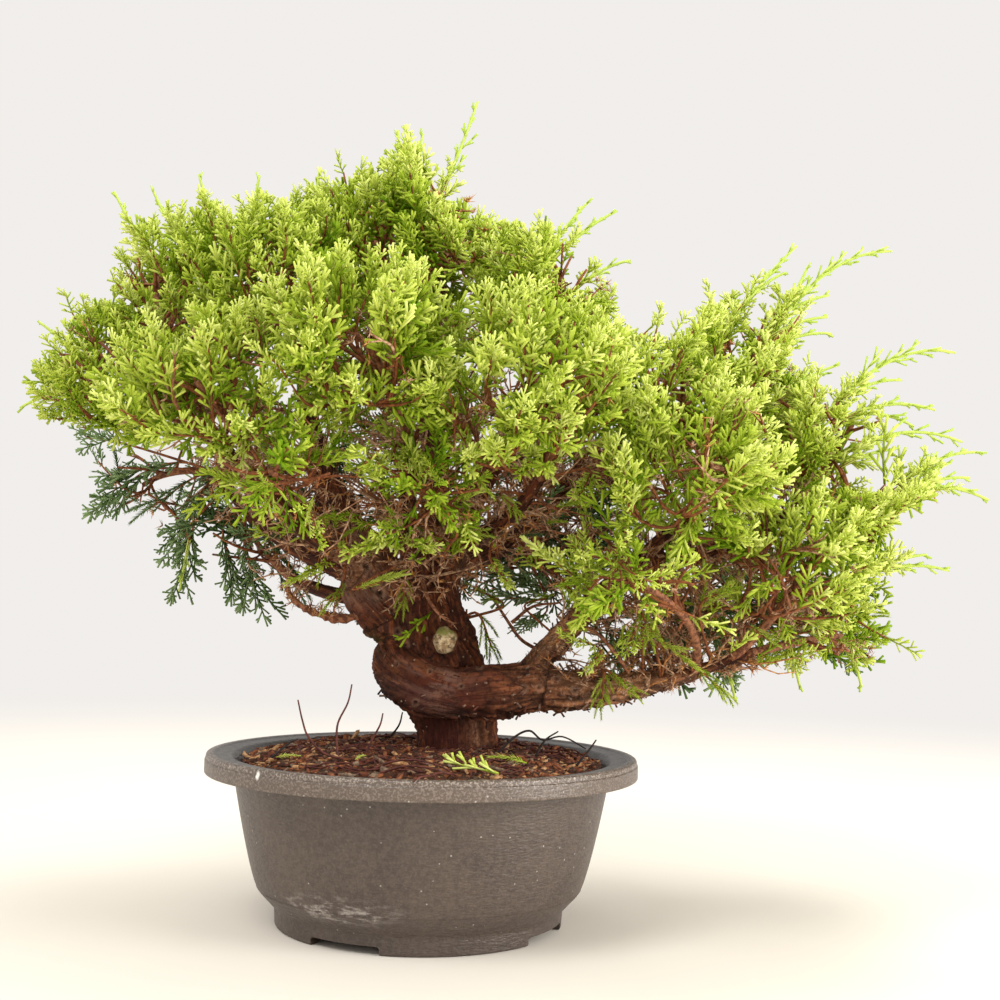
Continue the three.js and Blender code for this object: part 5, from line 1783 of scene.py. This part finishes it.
# How far the bark's relief moves the skin, in millimetres
LUMP_HEIGHT = 2.1
FLAKE_HEIGHT = 1.25
GRIT_HEIGHT = 0.7
KNOB_HEIGHT = 2.0
BURL_HEIGHT = 2.2
HOLLOW_BARK_DEPTH = 4.0
RING_HEIGHT = 0.7
PIT_DEPTH = 1.1
UNDERCUT = 3.4


def near_places(points, places):
    """How near each point is to any of the places, from 0 far away to 1 at one."""
    found = np.zeros(len(points))
    for place, reach in places:
        gap = np.linalg.norm(points - np.array(place), axis=1) / reach
        found = np.maximum(found, np.exp(-(gap**2)))
    return found


def limb_grain(points):
    """For each point of the bark: its place in the nearest limb's own grain, and that limb's radius."""
    rows = limb_frames()
    nearest = np.zeros(len(points), int)
    for start in range(0, len(points), 4000):
        part = points[start : start + 4000]
        gaps = np.linalg.norm(part[:, None] - rows[None, :, :3], axis=2) - rows[None, :, 3]
        nearest[start : start + 4000] = gaps.argmin(1)
    row = rows[nearest]
    away = points - row[:, :3]
    grain = np.stack([
        (away * row[:, 4:7]).sum(1) + row[:, 14] * 0.05,
        (away * row[:, 7:10]).sum(1),
        row[:, 13] + (away * row[:, 10:13]).sum(1),
    ], axis=1)
    return grain, row[:, 3], row[:, 10:13]


def flaked(x, y, s):
    """How high the shaggy bark stands at one place, how near it is to a crack, and its plate's own tone."""
    warp = 2.2 * noise.noise(Vector((x / 8, y / 8, s / 22)))
    gaps, seeds = noise.voronoi(Vector(((x + warp) / 4.6, (y - warp) / 4.6, (s + 3 * warp) / 27)))
    edge = min(1.0, (gaps[1] - gaps[0]) * 4)
    plate = noise.cell(seeds[0] * 5.3) * 0.5 + 0.5
    fibre = noise.noise(Vector((x / 1.5, y / 1.5, s / 15)))
    ridge = 1 - min(1.0, 5 * abs(noise.noise(Vector((x / 3.4, y / 3.4, s / 34 + 9)))))
    height = 0.85 * plate + 0.4 * edge + 0.5 * fibre - 0.7 * ridge
    return height, max(0.8 * (1 - edge), 0.9 * ridge), plate


def give_bark_relief(piece):
    """Moves the skin of the wood out and in, and notes on the mesh where each mark of the bark is."""
    mesh = piece.data
    count = len(mesh.vertices)
    points, normals = read_corners(mesh, "co"), read_corners(mesh, "normal")
    grain, limb_radius, _ = limb_grain(points)
    thick = np.clip(limb_radius / MM / 14, 0.18, 1.2)
    places = points / MM
    worn = near_places(places, WORN)
    wine = near_places(places, WINE)
    away = places - FRONT_EYE
    seen = (np.array(FRONT_EYE) + away * (-FRONT_EYE[1] / away[:, 1:2]))[:, [0, 2]]
    facing = (normals[:, 1] < -0.15) * (places[:, 1] < 12)
    rings, pits = np.zeros(count), np.zeros(count)
    for place, size in KNOTS:
        gap = np.linalg.norm(seen - place, axis=1) / size
        rings = np.maximum(rings, min(size / 2.6, 1) * facing * np.exp(-(((gap - 1) / 0.4) ** 2)))
        pits = np.maximum(pits, facing * np.exp(-((gap / 0.55) ** 2)))
    knots = RING_HEIGHT * rings - PIT_DEPTH * pits
    burls = near_places(places, BURLS) * BURL_HEIGHT - near_places(places, HOLLOWS) * HOLLOW_BARK_DEPTH
    ragged = 1 + 1.1 * np.clip(-normals[:, 2] + 0.1, 0, 1) * (places[:, 2] < 125)
    calm = ragged * (1 - 0.8 * np.maximum(worn, wine))
    pale = near_places(places, PALE)
    moves, cracks, plates = np.zeros(count), np.zeros(count), np.zeros(count)
    for k in range(count):
        x, y, s = grain[k] / MM
        flake, crack, plates[k] = flaked(x, y, s)
        lump = noise.noise(Vector((x / 12, y / 12, s / 15)))
        grit = noise.noise(Vector((places[k][0] / 2.2, places[k][1] / 2.2, places[k][2] / 2.2)))
        knob = noise.noise(Vector(places[k] / 4.6))
        rough = FLAKE_HEIGHT * flake + GRIT_HEIGHT * grit + KNOB_HEIGHT * pale[k] * knob
        moves[k] = LUMP_HEIGHT * lump + calm[k] * rough
        cracks[k] = calm[k] * crack
    under = np.clip(-normals[:, 2], 0, 1) * (places[:, 2] < 122)
    hollowed = UNDERCUT * under * np.clip((places[:, 0] - 40) / 40, 0, 1)
    moves = ((moves - 0.5) * thick + burls + knots - hollowed) * MM
    foot = np.clip((places[:, 2] - 78) / 4, 0, 1)
    points += normals * (moves * foot)[:, None]
    mesh.vertices.foreach_set("co", points.ravel())
    mesh.attributes.new("grain", "FLOAT_VECTOR", "POINT").data.foreach_set("vector", grain.ravel())
    marks = {
        "crack": np.clip(cracks + pits, 0, 1), "plate": plates, "worn": worn, "wine": wine, "ring": rings,
        "pale": pale, "moss": 0.85 * near_places(places, MOSS),
    }
    for name, values in marks.items():
        mesh.attributes.new(name, "FLOAT", "POINT").data.foreach_set("value", values)
    mesh.update()


def make_trunk():
    piece = limb_tubes()
    add_modifier(piece, "REMESH", mode="VOXEL", voxel_size=BARK_VOXEL * MM)
    add_modifier(piece, "SMOOTH", factor=0.5, iterations=4)
    give_bark_relief(piece)
    activate(piece)
    bpy.ops.object.shade_smooth()
    piece.data.materials.clear()
    piece.data.materials.append(bark_finish)
    belongs(piece, "bark", "trunk", *BOUGHS)
    return piece


def make_flakes(trunk):
    """Loose flakes of bark and broken twig ends that stand off the wood, thickest on the lower boughs."""
    random = np.random.default_rng(SEED + 3)
    points, normals = read_corners(trunk.data, "co"), read_corners(trunk.data, "normal")
    places = points / MM
    rough = (places[:, 0] > 40) * (places[:, 2] < 150) * 2.0 + 0.5 + 0.8 * (normals[:, 2] < -0.3)
    smooth = np.maximum(near_places(places, WORN), near_places(places, WINE))
    rough *= (places[:, 2] > 84) * (1 - 0.95 * smooth)
    chosen = random.choice(len(points), FLAKES, replace=False, p=rough / rough.sum())
    _, limb_radius, headings = limb_grain(points[chosen])
    shapes = chip_shapes(random, 8)
    flakes = Gathered()
    for k, heading in enumerate(headings):
        point, normal = points[chosen[k]], normals[chosen[k]]
        size = min(1.0, limb_radius[k] / (9 * MM)) + 0.25
        along = unit(heading + random.normal(0, 0.35, 3))
        if k % 3 == 0:
            out = unit(normal + 0.7 * along * random.choice([-1, 1]))
            spike = finger(point - out * 0.5 * MM, out, random.uniform(1.5, 3.2) * size * MM, 0.5 * size * MM)
            flakes.add(spike, int(random.choice(3)))
            continue
        out = unit(normal - along * (normal @ along))
        lifted = unit(along + out * random.uniform(0.05, 0.5))
        across = unit(np.cross(out, lifted))
        long, wide = random.uniform(1.1, 2.6), random.uniform(0.6, 1.1)
        axes = np.array([lifted * long, across * wide, np.cross(lifted, across)])
        corners, faces = shapes[k % len(shapes)]
        flakes.add((point + corners @ (axes * size * 0.75 * MM), faces), int(random.choice(3)))
    belongs(flakes.piece("bark_flakes", flake_finishes), "bark")


def make_stub():
    """The pale end of the cut branch: a rough domed oval of old wood with algae on its upper part."""
    start = metres(STUB_END)
    way = Vector(unit(np.array(STUB_END) - np.array(STUB_FOOT)))
    deselect_all()
    bpy.ops.mesh.primitive_cylinder_add(vertices=48, radius=CUT_END_RADIUS * MM, depth=3 * MM)
    stub = bpy.context.object
    stub.name = "cut_end"
    bpy.ops.object.mode_set(mode="EDIT")
    bpy.ops.mesh.select_mode(type="FACE")
    bpy.ops.mesh.select_all(action="DESELECT")
    bpy.ops.object.mode_set(mode="OBJECT")
    for face in stub.data.polygons:
        face.select = face.normal.z > 0.9
    bpy.ops.object.mode_set(mode="EDIT")
    for inset, rise in ((0.35, 0.5), (0.5, 0.35), (0.7, 0.2), (0.8, 0.1), (0.8, 0.05), (0.8, 0.0)):
        bpy.ops.mesh.inset(thickness=inset * MM, depth=rise * MM)
    bpy.ops.mesh.poke()
    bpy.ops.object.mode_set(mode="OBJECT")
    for vertex in stub.data.vertices:
        x, y, z = vertex.co / MM
        wide = 1 + 0.16 * noise.noise(Vector((x / 3.5, y / 3.5, 2)))
        rise = 0.5 * noise.noise(Vector((x / 1.6, y / 1.6, 5)))
        rise += 0.4 * noise.noise(Vector((x / 0.7, y / 3.0, 8)))
        vertex.co = (x * wide * MM, y * wide * MM, (z + (rise if z > 0 else 0)) * MM)
    turn = way.to_track_quat("Z", "Y").to_matrix().to_4x4()
    stub.data.transform(Matrix.Translation(start) @ turn @ Matrix.Diagonal((1.0, 1.14, 1.0, 1.0)))
    activate(stub)
    bpy.ops.object.shade_smooth_by_angle(angle=math.radians(50))
    stub.data.materials.append(stub_finish)
    belongs(stub, "bark")


# Crown pieces
def make_foliage(zone):
    """All sprays of one part of the crown, copied from the templates into one mesh."""
    foliage = Gathered()
    in_zone = [k for k, spray in enumerate(placed_sprays) if masses[spray.order].zone == zone]
    for kind, shapes in templates.items():
        for variety, (corners, faces, kinds) in enumerate(shapes):
            chosen = [k for k in in_zone if placed_sprays[k][1:3] == (kind, variety)]
            if not chosen:
                continue
            bases = np.array([placed_sprays[k].basis for k in chosen])
            roots = np.array([placed_sprays[k].root for k in chosen])
            moved = np.einsum("vk,nkj->nvj", corners, bases) + roots[:, None]
            steps = np.arange(len(chosen))[:, None, None] * len(corners)
            looks = (spray_greens[chosen][:, None] + kinds[None, :]).ravel()
            foliage.add((moved.reshape(-1, 3), (faces[None] + steps).reshape(-1, 3)), looks)
    nodes = [f"{name}_mass" for name, mass in zip(mass_names, masses) if mass.zone == zone]
    slot = "inner_foliage" if zone == "low" else "foliage"
    belongs(foliage.piece(f"foliage_{zone}", green_finishes), slot, *nodes)


make_pot()
make_soil()
make_litter()
make_flakes(make_trunk())
make_stub()
for crown_part in ("left", "top", "front", "right", "back", "low"):
    make_foliage(crown_part)
belongs(twigs.piece("twigs", twig_finishes), "bark")
belongs(dead_wood.piece("dead_twigs", twig_finishes), "bark")
belongs(dead_needles.piece("dead_needles", twig_finishes), "bark")
belongs(runner_shapes.piece("long_shoots", runner_finishes), "foliage")


# Stage, light and camera. The floor fades into the backdrop far from the pot.
BACKDROP = "f1eeeb"


def make_floor():
    """A wide pale disc that glows like the backdrop far from the pot, so that no horizon shows."""
    deselect_all()
    bpy.ops.mesh.primitive_circle_add(vertices=96, radius=3.0, fill_type="NGON", location=(0, 0, -0.0002))
    floor = bpy.context.object
    floor.name = "floor"
    material, tree, shader = new_material("floor", 0.7)
    place = object_place(tree)
    pale = blend(tree, patched(tree, place, 3.0, edge=0.4), colour("ece5d9"), colour("f1ebe0"))
    far = ramp(tree, vector_maths(tree, "LENGTH", place), 0.3, 1.5)
    tree.links.new(blend(tree, far, pale, colour("000000")), shader.inputs["Base Color"])
    tree.links.new(blend(tree, far, colour("000000"), colour(BACKDROP)), shader.inputs["Emission Color"])
    shader.inputs["Emission Strength"].default_value = 1.0
    shader.inputs["Specular IOR Level"].default_value = 0.0
    floor.data.materials.append(material)


def add_lamp(name, place, aim, size, power, tint):
    """A square soft lamp that faces a place."""
    light = bpy.data.lights.new(name, "AREA")
    light.shape = "SQUARE"
    light.size = size
    light.energy = power
    light.color = tint
    lamp = bpy.data.objects.new(name, light)
    bpy.context.scene.collection.objects.link(lamp)
    way = Vector(aim) - Vector(place)
    lamp.matrix_world = Matrix.Translation(place) @ way.to_track_quat("-Z", "Y").to_matrix().to_4x4()


LENS = 48.8
CAMERA_PITCH = 4.2
CAMERA_ROLL = 1.4


def make_camera():
    data = bpy.data.cameras.new("camera")
    data.lens = LENS
    data.sensor_width = 36
    data.clip_start = 0.01
    camera = bpy.data.objects.new("camera", data)
    bpy.context.scene.collection.objects.link(camera)
    pitch = Matrix.Rotation(math.radians(90 + CAMERA_PITCH), 4, "X")
    roll = Matrix.Rotation(math.radians(CAMERA_ROLL), 4, "Z")
    camera.matrix_world = Matrix.Translation(metres(FRONT_EYE)) @ pitch @ roll
    bpy.context.scene.camera = camera


def make_world():
    world = bpy.data.worlds.new("studio")
    world.use_nodes = True
    backdrop = world.node_tree.nodes["Background"]
    backdrop.inputs["Color"].default_value = colour(BACKDROP)
    backdrop.inputs["Strength"].default_value = 1.0
    bpy.context.scene.world = world


make_floor()
make_world()
add_lamp("key", (-0.6, -0.9, 1.5), (0, 0, 0.22), 0.7, 14.3, (1.0, 0.98, 0.95))
add_lamp("fill", (1.45, -0.6, 0.5), (0, 0, 0.15), 0.8, 20, (1.0, 0.98, 0.95))
add_lamp("top", (0.2, 0.3, 1.6), (0, 0, 0.25), 0.7, 9.4, (1.0, 0.99, 0.96))
make_camera()
bpy.context.scene.view_settings.view_transform = "Standard"
